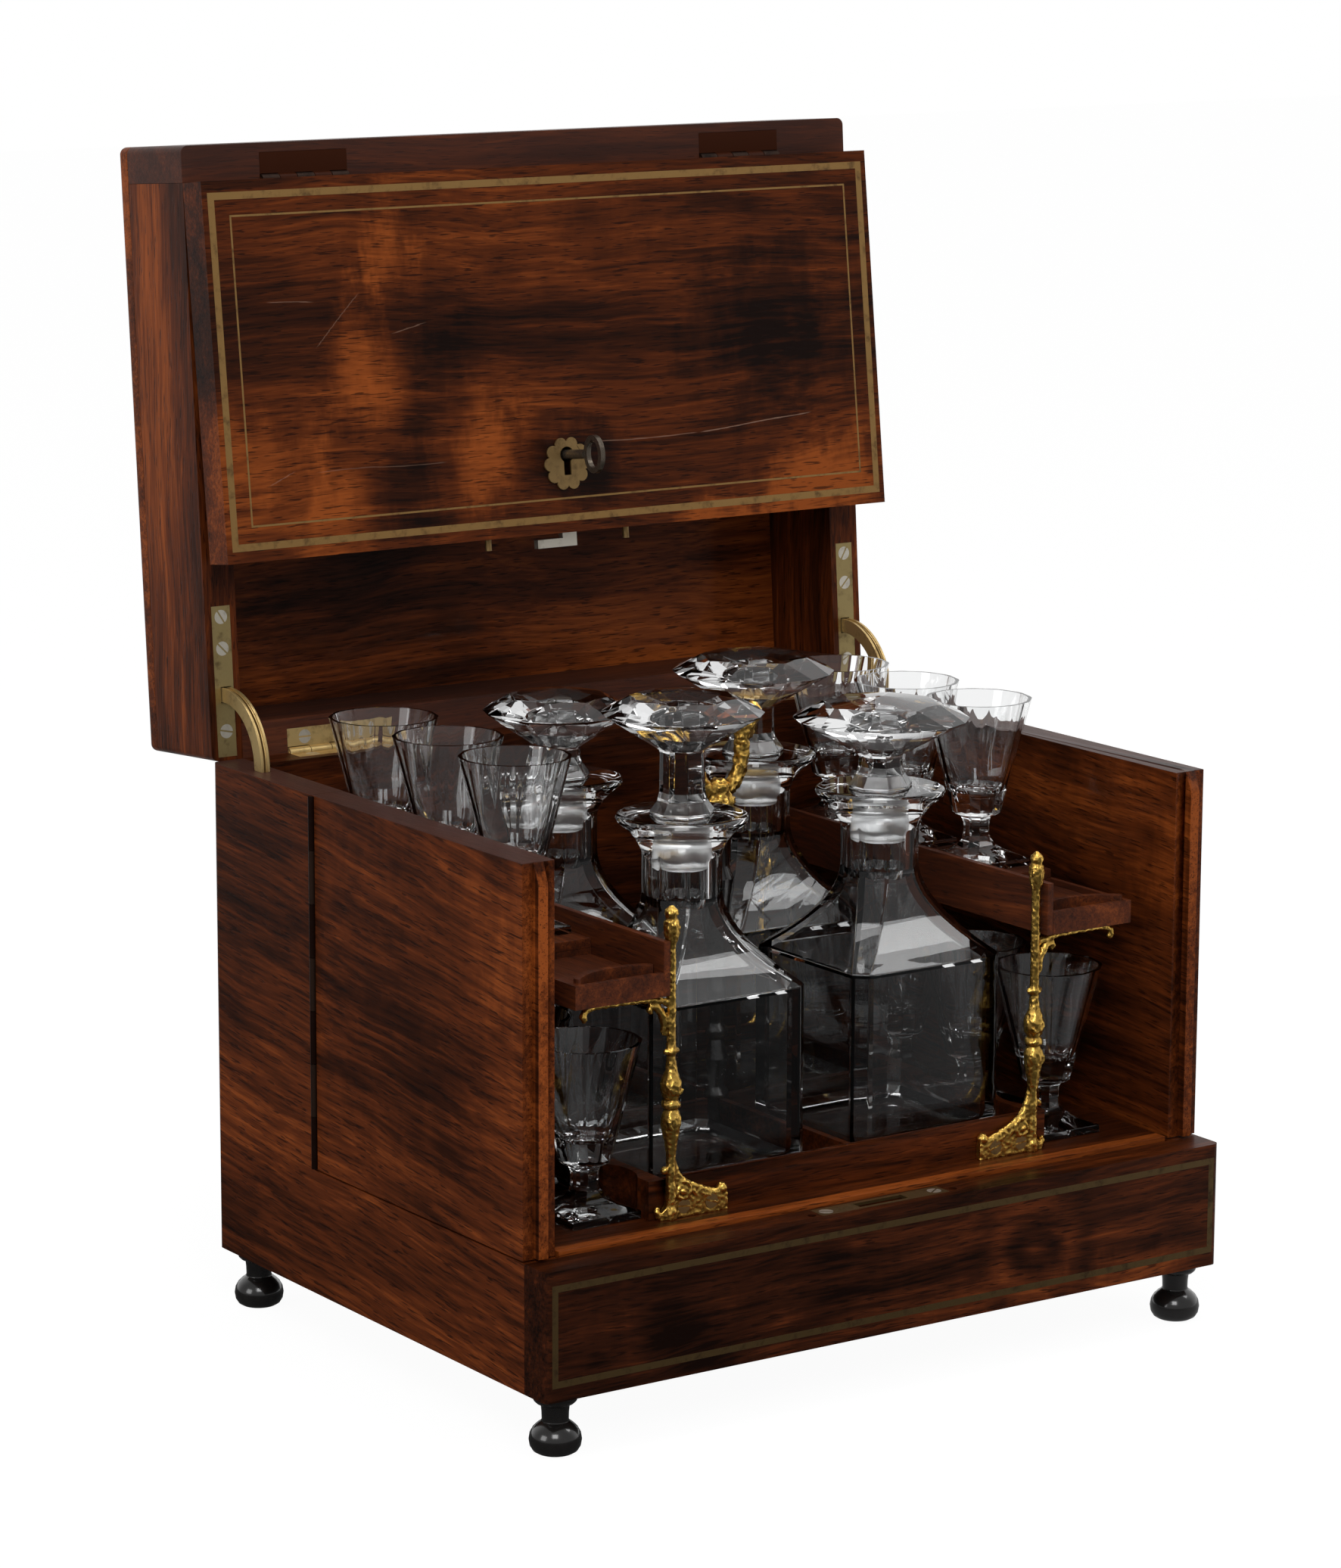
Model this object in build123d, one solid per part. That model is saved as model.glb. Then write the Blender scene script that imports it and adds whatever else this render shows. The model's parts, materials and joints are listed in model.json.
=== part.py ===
from build123d import *
import os
from math import cos, radians, sin

os.makedirs("parts", exist_ok=True)

# Liqueur cabinet with a raised lid, a front flap hung on the lid, two side doors and a lift-out carrier.
# Millimetres, -Y to the front, +Z up. The sub-parts are drawn about the middle of the case on the floor,
# and the finished part stands with the middle of its whole depth, open lid included, on the origin.

# Case
width = 330.0
depth = 250.0
plinth_height = 51.5
wall_height = 154.0
wall = 14.5
plinth_thickness = 15.0
floor_drop = 4.0
floor_thickness = 8.0
base_thickness = 6.0
seam_from_front = 170.0
arris = 3.0
overrun = 2.0

# Feet
foot_height = 24.0
foot_inset = 12.0
foot_flange_radius = 8.5
foot_flange = 2.5
foot_neck_radius = 5.2
foot_neck_from_floor = 14.5
foot_ball_radius = 10.2
foot_ball_from_floor = 7.0
foot_sole_radius = 6.5
foot_cove_share = 0.25

# Lid, in its own closed frame with the hinge line as origin
lid_height = 54.0
lid_top = 8.0
lid_open = 94.3

# Flap
flap_thickness = 15.0
flap_off_rim = 2.53
flap_seat_gap = 0.3

# Brass stringing on the flap and the plinth
inlay_depth = 1.0
flap_band = 3.0
flap_band_side = 2.5
flap_band_end = 4.7
flap_line = 0.8
flap_line_side = 12.0
flap_line_end = 14.0
plinth_band = 2.7
plinth_band_side = 2.9
plinth_band_end = 5.6

# Doors
door_gap = 0.6
door_front_gap = 1.0
bead_width = 4.5
bead_from_face = 4.9
bead_proud = 3.5
bead_root = 6.0
bead_bevel = 8.0
bead_gap = 0.5

# Hinges
knuckle_radius = 2.2
knuckle_gap = 0.3
end_gap = 0.15
pin_radius = 1.0
pin_gap = 0.05
leaf = 1.2
leaf_gap = 0.1
lid_leaf_width = 10.0
lid_hinge_length = 50.0
lid_hinge_inset = 35.7
flap_leaf_width = 11.0
flap_hinge_length = 41.0
flap_hinge_inset = 36.0
door_knuckle_radius = 1.5
door_pin_radius = 0.7
door_leaf = 0.8
door_leaf_width = 10.0
lid_knuckles = 5
door_knuckles = 7

# Screws with slotted heads
screw_radius = 2.9
screw_head = 1.2
screw_shank_radius = 1.3
screw_length = 5.5
screw_turn = 35.0
slot_width = 0.7
slot_depth = 0.5

# Lid stays
stay_radius = 27.0
stay_depth = 6.0
stay_width = 4.0
stay_from_face = 8.0
stay_engaged = 4.5
stay_pocket_spare = 2.0
stay_gap = 0.35
stay_bead = 1.6
stay_groove = 0.6
stay_plate_width = 8.6
stay_plate_end = 63.5
stay_plate_start = 1.5
stay_plate = 1.2
stay_plate_from_face = 3.1
stay_screw_places = (59.0, 46.0, 12.0)

# Lock
lock_offset = -2.0
lock_width = 60.0
lock_height = 38.0
lock_thickness = 9.0
hook_width = 19.6
hook_stem = 7.0
hook_bar = 3.6
hook_thickness = 3.0
hook_drop = 6.2
hook_stem_height = 9.0
hook_throw = 7.5
hook_gap = 0.3
keyhole_from_top = 121.0
keyhole_radius = 3.25
keyhole_slot = 3.5
keyhole_slot_end = 8.6
key_radius = 2.0
key_reach = 13.5
key_gap = 0.08
lock_plate = 4.0
key_bow_from_face = 22.0
key_bow_height = 16.0
key_bow_width = 13.0
key_wire = 2.2
escutcheon_lobe = 2.9
escutcheon_lobe_centres = 8.4
escutcheon_middle = 9.1
escutcheon_thickness = 1.0
escutcheon_from_top = 124.8
escutcheon_lobes = 10
locating_pin_radius = 1.4
locating_pin_drop = 5.0
locating_pin_spread = 34.6
socket_gap = 0.4
strike_from_front = 9.2
strike_width = 9.0
strike_half = 31.0
strike_thickness = 1.2
strike_slot_length = 23.5
strike_slot_width = 5.0
strike_slot_depth = 9.0
strike_screw_spread = 26.5

# Carrier
carrier_gap = 1.5
carrier_front_gap = 0.6
carrier_base = 5.9
partition_height = 15.6
partition = 3.0
partition_from_front = 31.0
glass_rail_width = 7.4
glass_rail_arc = 20.5
glass_to_side = 51.0
glass_from_front = 51.0
glass_gap = 0.25
glass_rows = 4

# Upper trays
tray_to_side = 29.5
tray_from_front = 24.7
tray_width = 40.5
tray_rise = 90.1
tray_board = 9.5
tray_well = 2.5
tray_lip = 2.3
tray_well_length = 48.0
tray_rail = 3.0
tray_rail_height = 21.5
tray_block = 4.0
tray_block_gap = 1.5
tray_arc = 3.0
tray_arc_rise = 4.5
tray_arc_sag = 9.0
tray_arc_start = 3.0

# Gilt supports: heights above the carrier, reaches from the rod towards the middle
rod_from_side = 76.0
rod_from_front = 28.5
rod_radii = (
    *(1.9, 1.9, 1.7, 3.2, 3.9, 2.6, 3.3, 3.3, 2.6, 3.9),
    *(2.2, 1.8, 2.7, 1.8, 1.8, 2.9, 3.2, 2.0, 2.5, 1.2),
)
rod_heights = (
    *(0, 20.0, 25.6, 35.0, 41.0, 44.0, 45.0, 47.4, 48.0, 54.0),
    *(59.5, 65.5, 67.2, 68.8, 110.0, 114.0, 118.5, 121.0, 123.0, 124.6),
)
support_thickness = 3.2
support_toe = 27.0
support_heel = 5.0
support_ramp_reaches = (1.0, 3.0, 6.5, 12.0, 18.0, 24.5)
support_ramp_heights = (23.0, 17.5, 13.5, 11.5, 8.4, 7.4)
support_knob_radius = 2.3
support_knob_rise = 8.8
support_arm = 40.0
support_arm_height = 2.6
support_brace_radius = 6.6
support_brace = 2.0
support_brace_drop = 9.6
support_screw_rise = 4.5
support_screw_places = (6.0, 19.0)

# Column: radii and heights above the carrier
column_gap = 0.2
column_radii = (
    *(6.3, 6.3, 4.4, 5.8, 4.0, 5.6, 5.6, 3.7, 5.2, 3.9),
    *(5.6, 5.6, 3.8, 5.0, 6.6, 4.2, 3.6, 5.2, 5.2),
)
column_heights = (
    *(0, 17.0, 20.0, 32.0, 40.0, 42.0, 44.0, 47.0, 60.0, 70.0),
    *(72.0, 74.0, 78.0, 96.0, 107.0, 112.0, 122.0, 130.0, 136.0),
)

# Handle: a leafy boss, and two arms that meet in an arch
handle_boss_radii = (6.0, 7.6, 6.4, 4.6, 5.2, 3.0)
handle_boss_heights = (0, 2.5, 5.0, 7.0, 9.0, 12.0)
handle_arm_radius = 3.3
handle_arm_reaches = (2.0, 8.6, 11.4, 10.6, 0)
handle_arm_heights = (6.0, 10.5, 22.0, 34.0, 44.5)
handle_leaf_radii = (2.8, 4.8)
handle_leaf_reach = 13.0
handle_leaf_rise = 26.5
handle_leaf_length = 14.0
handle_leaf_lean = 25.0

# Glasses
glass_foot = 32.0
glass_foot_edge = 3.2
glass_foot_height = 10.0
glass_stem_radius = 5.4
glass_stem_top = 18.5
glass_bowl_from_foot = 22.0
glass_bowl_radius = 10.25
glass_clearance = 4.83
glass_height = 70.0
glass_wall = 1.5
glass_bottom = 9.0
glass_panels = 12

# Decanters and stoppers
decanter_from_middle = 11.7
decanter_to_rail = 4.4
decanter_from_cross = 7.75
decanter_to_fence = 9.25
decanter_chamfer = 5.0
decanter_height = 147.0
decanter_shoulder_from_lip = 67.5
decanter_neck = 29.0
decanter_neck_radius = 15.5
decanter_lip_radius = 26.5
decanter_lip = 2.4
decanter_flare = 12.0
decanter_flare_share = 0.3
decanter_wall = 5.5
decanter_bottom = 8.0
decanter_bore_radius = 11.9
shoulder_steps = 4
shoulder_power = 1.9
stopper_gap = 0.1
stopper_plug = 22.0
stopper_flare_radius = 12.6
stopper_flare = 4.0
stopper_waist_radius = 8.8
stopper_facets = 8
stopper_under = 14.0
stopper_girdle = 1.2
stopper_crown = 8.5
stopper_table_share = 0.6
stopper_names = ("front_left", "front_right", "back_left", "back_right")
stopper_heights = (39.5, 27.5, 26.5, 33.5)
stopper_insets = (4.5, 1.0, 6.0, 3.0)

# Places worked out from the sizes above
front = -depth / 2
back = depth / 2
side = width / 2
inner_side = side - wall
plinth_bottom = foot_height
ledge = foot_height + plinth_height
rim = ledge + wall_height
inner_back = back - wall
plinth_back = front + plinth_thickness
floor_top = ledge - floor_drop
seam = front + seam_from_front
flap_length = wall_height - flap_seat_gap
lid_rail = lid_height - lid_top
lid_place = Pos(0, back, rim) * Rot(X=-lid_open)
lid_overhang = (
    arris
    + (lid_height - arris) * sin(radians(lid_open))
    - (depth - arris) * cos(radians(lid_open))
)
part_frame = Pos(0, -lid_overhang / 2, 0)
flap_fold = 90 - flap_off_rim
flap_place = lid_place * Pos(0, flap_thickness - depth, 0) * Rot(X=flap_fold)
carrier_top = floor_top + carrier_base
tray_bottom = carrier_top + tray_rise
tray_top = tray_bottom + tray_board
tray_outer = side - tray_to_side
tray_inner = tray_outer - tray_width
upper_foot = tray_top + tray_block + glass_gap
decanter_shoulder = decanter_height - decanter_shoulder_from_lip
decanter_neck_from_foot = decanter_height - decanter_neck
lower_foot = carrier_top + glass_gap
glass_pitch = (depth - 2 * glass_from_front) / (glass_rows - 1)
glass_rim_radius = (glass_pitch - glass_clearance) / 2
glass_rail_out = side - glass_to_side - glass_foot / 2 - 2 * glass_gap
glass_rail_in = glass_rail_out - glass_rail_width
fence_front = front + partition_from_front
fence_inner = -fence_front - partition
decanter_width = glass_rail_in - decanter_to_rail - decanter_from_middle
decanter_depth = fence_inner - decanter_to_fence - decanter_from_cross
decanter_x = decanter_from_middle + decanter_width / 2
decanter_y = decanter_from_cross + decanter_depth / 2


# Building helpers
def block(xs, ys, zs):
    """A box between three pairs of limits."""
    spans = (xs, ys, zs)
    centre = [(low + high) / 2 for low, high in spans]
    return Pos(*centre) * Box(*[high - low for low, high in spans])


def around(middle, size):
    """The limits of a size laid evenly about a middle."""
    return (middle - size / 2, middle + size / 2)


def sides(shape):
    """A shape and its mirror image across the middle."""
    return [shape, mirror(shape, Plane.YZ)]


def front_and_back(shapes):
    """Shapes and their mirror images from front to back."""
    return shapes + [mirror(shape, Plane.XZ) for shape in shapes]


def turned(*edges):
    """A solid turned about Z from edges drawn as (radius, height)."""
    return revolve(Plane.XZ * make_face(edges), axis=Axis.Z)


def turned_steps(radii, heights):
    """A solid turned about Z whose edge joins the given radii at the given heights."""
    points = [(0, heights[0]), *zip(radii, heights), (0, heights[-1])]
    return turned(*Polyline(*points, close=True).edges())


def rod_along_x(radius, xs):
    """A round bar along X about the origin line."""
    return Pos((xs[0] + xs[1]) / 2, 0, 0) * Rot(Y=90) * Cylinder(radius, xs[1] - xs[0])


def save(name, *shapes):
    """Writes one node from one or more solids, in the part's frame."""
    solids = [part_frame * solid for shape in shapes for solid in shape.solids()]
    export_step(solids[0] if len(solids) == 1 else Compound(solids), f"parts/{name}.step")


def cut_all(shape, tools):
    """A shape less each of the tools."""
    for tool in tools:
        shape -= tool
    return shape


# Fastenings that several sub-parts share
def screw(turn):
    """A slotted screw with its head's top at z = 0, driven down."""
    head = Pos(0, 0, -screw_head / 2) * Cylinder(screw_radius, screw_head)
    shank = Pos(0, 0, -screw_length / 2) * Cylinder(screw_shank_radius, screw_length)
    slot = Pos(0, 0, -slot_depth / 2) * Box(2 * screw_radius + overrun, slot_width, slot_depth)
    return head + shank - Rot(Z=turn) * slot


def hinge(length, leaf_width, thickness, radius, pin, knuckles):
    """Two leaves on one pin along X: the lower leaf, and the upper one that holds the pin."""
    pair = []
    pitch = length / knuckles
    for level, first in ((-1, 0), (1, 1)):
        near, far = leaf_gap / 2 * level, (leaf_gap / 2 + thickness) * level
        zs = (min(near, far), max(near, far))
        plate = block(around(0, length), (-leaf_width, -radius - knuckle_gap), zs)
        for step in range(first, knuckles, 2):
            low = -length / 2 + step * pitch
            span = (low + end_gap, low + pitch - end_gap)
            plate += rod_along_x(radius, span)
            plate += block(span, (-radius - 2 * knuckle_gap, 0), zs)
        if level < 0:
            plate -= rod_along_x(pin + pin_gap, around(0, length + overrun))
        else:
            plate += rod_along_x(pin, around(0, length))
        pair.append(plate)
    return pair


def hinge_bed(length, leaf_width, thickness, radius):
    """What a hinge takes out of the wood on both sides of its joint."""
    leaves = block(
        around(0, length), (-leaf_width, 0), around(0, 2 * thickness + leaf_gap)
    )
    return leaves + rod_along_x(radius + knuckle_gap, around(0, length))


def mitred_band(length, height, band):
    """Four mitred strips round a rectangle on XY, let into the face at z = 0."""
    strips = []
    for span, rise, turn in ((length, height, 0), (height, length, 90)):
        outline = Polyline(
            (-span / 2, -rise / 2),
            (span / 2, -rise / 2),
            (span / 2 - band, band - rise / 2),
            (band - span / 2, band - rise / 2),
            close=True,
        )
        strip = extrude(make_face(outline), -inlay_depth)
        strips += [Rot(Z=turn) * strip, Rot(Z=turn + 180) * strip]
    return strips


# The three kinds of hinge, each placed in the frame it is used in
lid_hinge_args = (lid_hinge_length, lid_leaf_width, leaf, knuckle_radius)
flap_hinge_args = (flap_hinge_length, flap_leaf_width, leaf, knuckle_radius)
door_hinge_args = (wall_height - 2 * door_gap, door_leaf_width, door_leaf, door_knuckle_radius)
lid_hinge_pair = hinge(*lid_hinge_args, pin_radius, lid_knuckles)
flap_hinge_pair = hinge(*flap_hinge_args, pin_radius, lid_knuckles)
door_hinge_pair = hinge(*door_hinge_args, door_pin_radius, door_knuckles)
lid_hinge_x = side - lid_hinge_inset - lid_hinge_length / 2
flap_hinge_x = side - flap_hinge_inset - flap_hinge_length / 2
door_hinge_z = ledge + wall_height / 2
# Local X hangs down, the leaves point inwards and the pin's leaf is the door's
door_hinge_place = Pos(side, seam, door_hinge_z) * Rot(Z=-90) * Rot(Y=90)


def on_hinges(place_x, shape):
    """A shape at both hinges of a pair."""
    return [Pos(place_x, 0, 0) * shape, Pos(-place_x, 0, 0) * shape]


def hinge_screw_places(hinge_x, length, leaf_width):
    """Three screws along each leaf of a pair of hinges, as (x, y)."""
    line = -(leaf_width + knuckle_radius) / 2
    steps = (-1, 0, 1)
    pitch = length / 3
    return [(end * hinge_x + step * pitch, line) for end in (-1, 1) for step in steps]


# Lid stays: arcs about the lid's hinge line, drawn at the right hand side
def stay_arc(start, span, gap):
    """An arc bar from an angle below the rim, grown by a gap all round."""
    section = Pos(side - stay_from_face, -stay_radius) * Rectangle(
        stay_width + 2 * gap, stay_depth + 2 * gap
    )
    return Rot(X=start) * revolve(section, axis=Axis.X, revolution_arc=span)


def build_stays():
    """The two arcs at the open lid, each with a sunk line on its outer edge."""
    span = lid_open + 2 * stay_engaged
    bar = stay_arc(-lid_open - stay_engaged, span, 0)
    outer = stay_radius + stay_depth / 2
    line = Pos(side - stay_from_face, -outer) * Rectangle(stay_bead, 2 * stay_groove)
    groove = revolve(line, axis=Axis.X, revolution_arc=span)
    bar -= Rot(X=-lid_open - stay_engaged) * groove
    right, left = sides(Pos(0, back, rim) * bar)
    save("stay_right", right)
    save("stay_left", left)


def stay_pocket(turn):
    """The hollow that an arc slides in, below the rim or, turned over, above it."""
    reach = lid_open / 2 + stay_engaged + stay_pocket_spare
    start = -stay_pocket_spare if turn > 0 else stay_pocket_spare - reach
    return stay_arc(start, reach, stay_gap)


# Case
def build_case():
    side_outline = Polyline(
        (plinth_back, plinth_bottom),
        (back, plinth_bottom),
        (back, rim),
        (seam, rim),
        (seam, ledge),
        (plinth_back, ledge),
        close=True,
    )
    panel = Pos(inner_side, 0, 0) * extrude(Plane.YZ * make_face(side_outline), wall)
    panel = fillet(panel.edges().filter_by(Axis.Z).group_by(Axis.Y)[-1].sort_by(Axis.X)[-1], arris)
    panel -= Pos(0, back, rim) * stay_pocket(1)
    panel -= door_hinge_place * hinge_bed(*door_hinge_args)
    save("side_panels", *sides(panel))

    lock_x = lock_offset
    board = block((-side, side), (front, plinth_back), (plinth_bottom, ledge))
    board = fillet(board.edges().filter_by(Axis.Z).group_by(Axis.Y)[0], arris)
    band_height = plinth_height - 2 * plinth_band_end
    band_place = Pos(0, front, plinth_bottom + plinth_height / 2) * Plane.XZ.location
    strips = [
        band_place * strip
        for strip in mitred_band(width - 2 * plinth_band_side, band_height, plinth_band)
    ]
    strike_y = front + strike_from_front
    plate = block(
        around(lock_x, 2 * strike_half),
        around(strike_y, strike_width),
        (ledge - strike_thickness, ledge),
    )
    slot = block(
        around(lock_x, strike_slot_length),
        around(strike_y, strike_slot_width),
        (ledge - strike_slot_depth, ledge + overrun),
    )
    under = block(
        around(lock_x, strike_slot_length + 2 * hook_throw),
        around(strike_y, strike_slot_width),
        (ledge - strike_slot_depth, ledge - strike_thickness),
    )
    screws = [
        Pos(lock_x + end * strike_screw_spread, strike_y, ledge) * screw(screw_turn * end)
        for end in (-1, 1)
    ]
    sockets = [
        Pos(lock_x + end * locating_pin_spread, front + flap_thickness / 2, ledge)
        * Cylinder(locating_pin_radius + socket_gap, 2 * (locating_pin_drop + 2 * socket_gap))
        for end in (-1, 1)
    ]
    board = cut_all(board, strips + [plate, slot, under] + screws + sockets)
    plate = cut_all(plate, [slot] + screws)
    save("plinth_front", board)
    save("plinth_band", *strips)
    save("strike_plate", plate)

    rear = block((-inner_side, inner_side), (inner_back, back), (plinth_bottom, rim))
    hinge_line = Pos(0, back, rim)
    for bed in on_hinges(lid_hinge_x, hinge_bed(*lid_hinge_args)):
        rear -= hinge_line * bed
    leaf_screws = [
        hinge_line * Pos(x, y, -leaf_gap / 2) * screw(screw_turn * index)
        for index, (x, y) in enumerate(
            hinge_screw_places(lid_hinge_x, lid_hinge_length, lid_leaf_width)
        )
    ]
    leaves = [hinge_line * shape for shape in on_hinges(lid_hinge_x, lid_hinge_pair[0])]
    leaves = [cut_all(shape, leaf_screws) for shape in leaves]
    save("back_panel", cut_all(rear, leaf_screws))
    save("case_screws", *screws, *leaf_screws)
    save("case_hinge_leaves", *leaves, *sides(door_hinge_place * door_hinge_pair[0]))

    inside = ((-inner_side, inner_side), (plinth_back, inner_back))
    save("inner_floor", block(*inside, (floor_top - floor_thickness, floor_top)))
    save("base_board", block(*inside, (plinth_bottom, plinth_bottom + base_thickness)))


def build_feet():
    top, flange = plinth_bottom, plinth_bottom - foot_flange
    neck = (foot_neck_radius, foot_neck_from_floor)
    cove_middle = (
        foot_neck_radius + foot_cove_share * (foot_flange_radius - foot_neck_radius),
        (flange + foot_neck_from_floor) / 2,
    )
    outline = [
        Line((0, 0), (0, top)),
        Line((0, top), (foot_flange_radius, top)),
        Line((foot_flange_radius, top), (foot_flange_radius, flange)),
        ThreePointArc((foot_flange_radius, flange), cove_middle, neck),
        ThreePointArc(neck, (foot_ball_radius, foot_ball_from_floor), (foot_sole_radius, 0)),
        Line((foot_sole_radius, 0), (0, 0)),
    ]
    foot = turned(*outline)
    place = Pos(side - foot_inset, front + foot_inset, 0)
    save("feet", *front_and_back(sides(place * foot)))


# Lid
def build_lid():
    ahead, inner_ahead = -depth, plinth_thickness - depth
    top = block((-side, side), (ahead, 0), (lid_rail, lid_height))
    edges = top.edges()
    top = fillet(edges.group_by(Axis.Z)[-1] + edges.filter_by(Axis.Z), arris)
    save("lid_top_board", lid_place * top)

    fore = block((-side, side), (ahead, inner_ahead), (0, lid_rail))
    fore = fillet(fore.edges().filter_by(Axis.Z).group_by(Axis.Y)[0], arris)
    flap_line_place = Pos(0, inner_ahead, 0)
    for bed in on_hinges(flap_hinge_x, hinge_bed(*flap_hinge_args)):
        fore -= flap_line_place * bed
    save("lid_front_rail", lid_place * fore)

    leaf_screws = [
        Pos(x, y, leaf_gap / 2) * Rot(X=180) * screw(screw_turn * index)
        for index, (x, y) in enumerate(
            hinge_screw_places(lid_hinge_x, lid_hinge_length, lid_leaf_width)
        )
    ]
    rear = block((-inner_side, inner_side), (-wall, 0), (0, lid_rail))
    for bed in on_hinges(lid_hinge_x, hinge_bed(*lid_hinge_args)):
        rear -= bed
    save("lid_rear_rail", lid_place * cut_all(rear, leaf_screws))

    plate_middle = side - stay_plate_from_face - stay_plate_width / 2
    plate = block(
        around(plate_middle, stay_plate_width),
        (-stay_plate_end, -stay_plate_start),
        (0, stay_plate),
    )
    plate_screws = [
        Pos(plate_middle, -place, 0) * Rot(X=180) * screw(place)
        for place in stay_screw_places
    ]
    rail = block((inner_side, side), (inner_ahead, 0), (0, lid_rail))
    rail = fillet(rail.edges().filter_by(Axis.Z).group_by(Axis.Y)[-1].sort_by(Axis.X)[-1], arris)
    rail -= stay_pocket(-1)
    rail = cut_all(rail, [plate] + plate_screws)
    save("lid_side_rails", *sides(lid_place * rail))
    plate = cut_all(plate - stay_pocket(-1), plate_screws)
    save("stay_plates", *sides(lid_place * plate))

    leaves = [cut_all(shape, leaf_screws) for shape in on_hinges(lid_hinge_x, lid_hinge_pair[1])]
    hangers = [flap_line_place * shape for shape in on_hinges(flap_hinge_x, flap_hinge_pair[1])]
    save("lid_hinge_leaves", *[lid_place * shape for shape in leaves + hangers])
    screws = leaf_screws + [shape for one in plate_screws for shape in sides(one)]
    save("lid_screws", *[lid_place * shape for shape in screws])


# Flap, in its own frame with its hinge line as origin and its length down -Z
def build_flap():
    face = -flap_thickness
    board = block((-side, side), (face, 0), (-flap_length, 0))
    face_place = Pos(0, face, -flap_length / 2) * Plane.XZ.location
    band = mitred_band(width - 2 * flap_band_side, flap_length - 2 * flap_band_end, flap_band)
    line = mitred_band(width - 2 * flap_line_side, flap_length - 2 * flap_line_end, flap_line)
    strips = [face_place * strip for strip in band + line]

    lock_middle = -flap_length + lock_height / 2
    lock = block(
        around(lock_offset, lock_width), (-lock_thickness, 0), around(lock_middle, lock_height)
    )
    key_z = -keyhole_from_top
    bore = Pos(0, face / 2, key_z) * Rot(X=90) * Cylinder(keyhole_radius, 2 * flap_thickness)
    slot = block(
        around(0, keyhole_slot),
        (face - overrun, overrun),
        (key_z - keyhole_slot_end, key_z),
    )
    groove_x = side - bead_from_face - bead_width / 2
    groove = block(
        around(groove_x, bead_width + 2 * bead_gap),
        (-(bead_proud - door_front_gap + bead_gap), overrun),
        (-flap_length - overrun, overrun),
    )
    pins = [
        Pos(lock_offset + end * locating_pin_spread, face / 2, -flap_length)
        * Cylinder(locating_pin_radius, 2 * locating_pin_drop)
        for end in (-1, 1)
    ]
    beds = on_hinges(flap_hinge_x, hinge_bed(*flap_hinge_args))
    board = cut_all(board, strips + [lock, bore, slot] + sides(groove) + pins + beds)
    save("flap_board", flap_place * board)
    save("flap_stringing", *[flap_place * strip for strip in strips])

    hook_side = lock_offset + hook_width / 2
    hook_y = around(face + strike_from_front, hook_thickness)
    bottom = -flap_length - hook_drop
    bar = block((hook_side - hook_width, hook_side), hook_y, (bottom, bottom + hook_bar))
    stem_top = hook_stem_height - flap_length
    stem = block((hook_side - hook_stem, hook_side), hook_y, (bottom, stem_top))
    race = block(
        (hook_side - hook_stem - hook_throw - hook_gap, hook_side + hook_gap),
        (hook_y[0] - hook_gap, hook_y[1] + hook_gap),
        (-flap_length - overrun, stem_top + hook_gap),
    )
    save("lock_hook", flap_place * (bar + stem))
    throat = (-lock_thickness - overrun, lock_plate - lock_thickness)
    mouth = Cylinder(keyhole_radius, throat[1] - throat[0])
    mouth = Pos(0, sum(throat) / 2, key_z) * Rot(X=90) * mouth
    mouth += block(around(0, keyhole_slot), throat, (key_z - keyhole_slot_end, key_z))
    guide = Cylinder(key_radius + key_gap, 2 * flap_thickness)
    guide = Pos(0, face / 2, key_z) * Rot(X=90) * guide
    lock_body = cut_all(lock, [race, mouth, guide])
    save("lock_case", flap_place * lock_body, *[flap_place * pin for pin in pins])
    leaves = on_hinges(flap_hinge_x, flap_hinge_pair[0])
    save("flap_hinge_leaves", *[flap_place * shape for shape in leaves])

    plate = Circle(escutcheon_middle)
    for place in PolarLocations(escutcheon_lobe_centres, escutcheon_lobes):
        plate += place * Circle(escutcheon_lobe)
    plate = extrude(plate, escutcheon_thickness)
    plate = Pos(0, face, -escutcheon_from_top) * Plane.XZ.location * plate
    save("escutcheon", flap_place * cut_all(plate, [bore, slot]))

    shaft_span = key_reach + key_bow_from_face - key_bow_width / 2
    shaft = Cylinder(key_radius, shaft_span)
    shaft = Pos(0, face + key_reach - shaft_span / 2, key_z) * Rot(X=90) * shaft
    bow_place = Pos(0, face - key_bow_from_face, key_z) * Rot(Y=90)
    bow = bow_place * (
        extrude(Ellipse(key_bow_height / 2, key_bow_width / 2), key_wire / 2, both=True)
        - extrude(
            Ellipse(key_bow_height / 2 - key_wire, key_bow_width / 2 - key_wire),
            key_wire,
            both=True,
        )
    )
    save("key", flap_place * (shaft + bow))


# Doors
def build_doors():
    near = front + plinth_thickness + door_front_gap
    panel = block((inner_side, side), (near, seam - leaf_gap), (ledge + door_gap, rim))
    bead_x = side - bead_from_face - bead_width / 2
    bead_outline = Polyline(
        (near + bead_root, ledge + 2 * door_gap),
        (near + bead_root, rim),
        (near, rim),
        (near - bead_proud, rim - bead_bevel),
        (near - bead_proud, ledge + 2 * door_gap),
        close=True,
    )
    bead = Pos(bead_x - bead_width / 2, 0, 0) * extrude(Plane.YZ * make_face(bead_outline), bead_width)
    panel = panel - bead - door_hinge_place * hinge_bed(*door_hinge_args)
    leaves = sides(door_hinge_place * door_hinge_pair[1])
    for name, board, strip, plate in zip(("right", "left"), sides(panel), sides(bead), leaves):
        save(f"door_{name}", board, strip)
        save(f"door_hinge_leaf_{name}", plate)


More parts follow.
